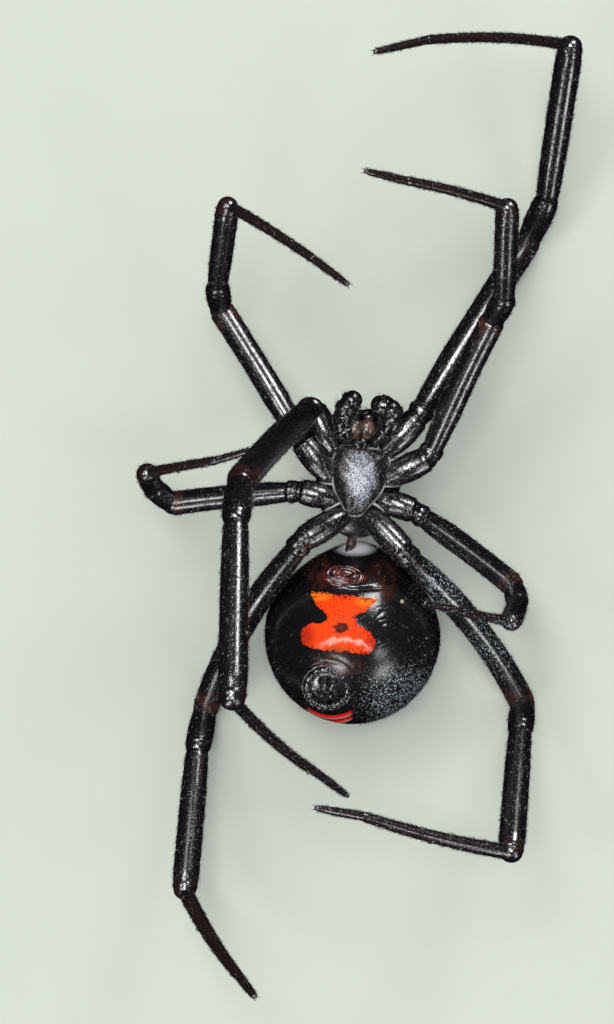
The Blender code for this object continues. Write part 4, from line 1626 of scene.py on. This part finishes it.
@dataclass
class Studio:
    """The pale floor, the soft lights and the camera that looks straight down.

    Each lamp has a name, an azimuth, an angle from straight above, a size and a power.
    """

    camera_place: Triple = (-1.906, 3.57, 105.0)
    camera_turn: float = 7.5
    focal_pixels: float = 3300.0
    frame_height: int = 1024
    sensor: float = 36.0
    floor_half: float = 400.0
    floor_tones: tuple[Triple, Triple] = ((0.42, 0.45, 0.39), (0.44, 0.47, 0.41))
    sky: Triple = (0.9, 0.95, 1.0)
    sky_strength: float = 0.6
    lamp_aim: Triple = (-0.9, 3.5, 4.0)
    lamp_distance: float = 130.0
    lamps: tuple[tuple[str, float, float, float, float], ...] = (
        ("head_left_light", 67.0, 60.0, 50.0, 0.065),
        ("tail_light", 253.0, 46.0, 34.0, 0.022),
        ("left_light", -29.0, 45.0, 34.0, 0.011),
        ("tail_left_light", -44.0, 69.0, 44.0, 0.022),
        ("head_right_light", 129.0, 27.0, 42.0, 0.042),
        ("right_light", 193.0, 36.0, 34.0, 0.02),
        ("tail_right_light", 246.0, 70.0, 40.0, 0.022),
    )
    key_spread: float = 20.0
    key: Triple = (125.0, 7.0, 1.3)

    def floor(self) -> None:
        """Makes a wide pale floor that the gloss of the black skin doesn't mirror."""
        bench = Bench("floor_paint")
        colour = bench.mix(bench.noise(bench.place(), 0.02), *self.floor_tones)
        finish = bench.done(Base_Color=colour, Roughness=0.75, Specular_IOR_Level=0.2)
        half = self.floor_half * MM
        mesh = bpy.data.meshes.new("floor")
        square = ((-half, -half, 0.0), (half, -half, 0.0), (half, half, 0.0), (-half, half, 0.0))
        mesh.from_pydata(square, [], ((0, 1, 2, 3),))
        mesh.materials.append(finish)
        floor = show("floor", mesh)
        floor.visible_glossy = False

    def hang(self, light: bpy.types.Light, around: float, off: float, power: float) -> None:
        """Hangs a soft light that faces the middle of the animal.

        Args:
            light: the light.
            around: its azimuth in degrees.
            off: its angle from straight above.
            power: its power, in the light's own unit.
        """
        light.energy = power
        lamp = show(light.name, light)
        lamp.visible_camera = False
        turn, tilt = math.radians(around), math.radians(off)
        way = aimed(turn, math.pi / 2 - tilt)
        lamp.location = (np.array(self.lamp_aim) + way * self.lamp_distance) * MM
        lamp.rotation_euler = (tilt, 0.0, turn + math.pi / 2)

    def build(self) -> None:
        """Sets out the floor, the lights, the surroundings and the camera."""
        self.floor()
        for name, around, off, size, power in self.lamps:
            light = bpy.data.lights.new(name, "AREA")
            light.shape = "DISK"
            light.size = size * MM
            self.hang(light, around, off, power)
        sun = bpy.data.lights.new("key_light", "SUN")
        sun.angle = math.radians(self.key_spread)
        self.hang(sun, *self.key)
        scene = bpy.context.scene
        world = bpy.data.worlds.new("studio")
        world.use_nodes = True
        background = world.node_tree.nodes["Background"]
        background.inputs["Color"].default_value = (*self.sky, 1.0)
        background.inputs["Strength"].default_value = self.sky_strength
        world.cycles_visibility.glossy = False
        scene.world = world
        lens = bpy.data.cameras.new("camera")
        lens.sensor_fit = "VERTICAL"
        lens.sensor_height = self.sensor
        lens.lens = self.focal_pixels / self.frame_height * self.sensor
        lens.clip_start = 0.001
        lens.clip_end = 10.0
        camera = show("camera", lens)
        camera.location = np.array(self.camera_place) * MM
        camera.rotation_euler = (0.0, 0.0, math.radians(self.camera_turn))
        scene.camera = camera
        scene.view_settings.view_transform = "Standard"


def main() -> None:
    """Builds the animal and the studio."""
    logging.basicConfig(level=logging.INFO, format="%(message)s")
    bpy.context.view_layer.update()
    shields = (
        ShieldCuticle("black_shield", (0.005, 0.0045, 0.006), (0.012, 0.009, 0.009)),
        ShieldCuticle("palp_cuticle", (0.004, 0.0035, 0.004), (0.008, 0.006, 0.006), 3.0, 0.1),
        ShieldCuticle("brown_mouth", (0.02, 0.01, 0.008), (0.13, 0.065, 0.045), 2.0),
        ShieldCuticle("pale_membrane", (0.06, 0.05, 0.052), (0.42, 0.4, 0.41), 2.0, 0.4),
        ShieldCuticle("waist_skin", (0.01, 0.003, 0.003), (0.1, 0.022, 0.014), 2.0, 0.4),
        ShieldCuticle(
            "dark_spinnerets", (0.004, 0.003, 0.003), (0.022, 0.02, 0.02), 4.0, 0.1, 0.005, 1.7
        ),
        ShieldCuticle("epigynum_plate", (0.012, 0.003, 0.003), (0.1, 0.01, 0.008), 3.0, 0.1),
    )
    black, gloss, brown, rose, waist, spinning, plate = (kind.material() for kind in shields)
    painted_sheen = SternumCuticle().material()
    horn = GlossFinish("dark_horn", (0.006, 0.003, 0.003), (0.025, 0.009, 0.006), 0.18).material()
    glass = GlossFinish("eye_glass", (0.02, 0.012, 0.01), (0.05, 0.03, 0.02), 0.04).material()
    hair = HairFinish("pale_hair").material()
    belly_hair = HairFinish("belly_hair", marked=True).material()

    abdomen = Abdomen()
    abdomen.skin(BellyCuticle().material())
    abdomen.epigynum(plate)
    abdomen.spinnerets(spinning)
    abdomen.coat(belly_hair)
    log.info("abdomen built")

    front = FrontBody()
    front.shields(black, painted_sheen, rose)
    front.waist(waist)
    front.mouth(gloss, brown, horn)
    front.lenses(glass)
    front.coat(hair)
    log.info("front body built")

    for number, pair in PAIRS.items():
        finish = LegCuticle(f"leg_cuticle_{number}", pair.brown).material()
        for side in Side:
            leg = Leg(number, side)
            leg.build(finish, horn)
            leg.coat(hair)
            log.info("%s built", leg.name)

    Studio().build()
    log.info("studio built")


if __name__ == "__main__":
    main()
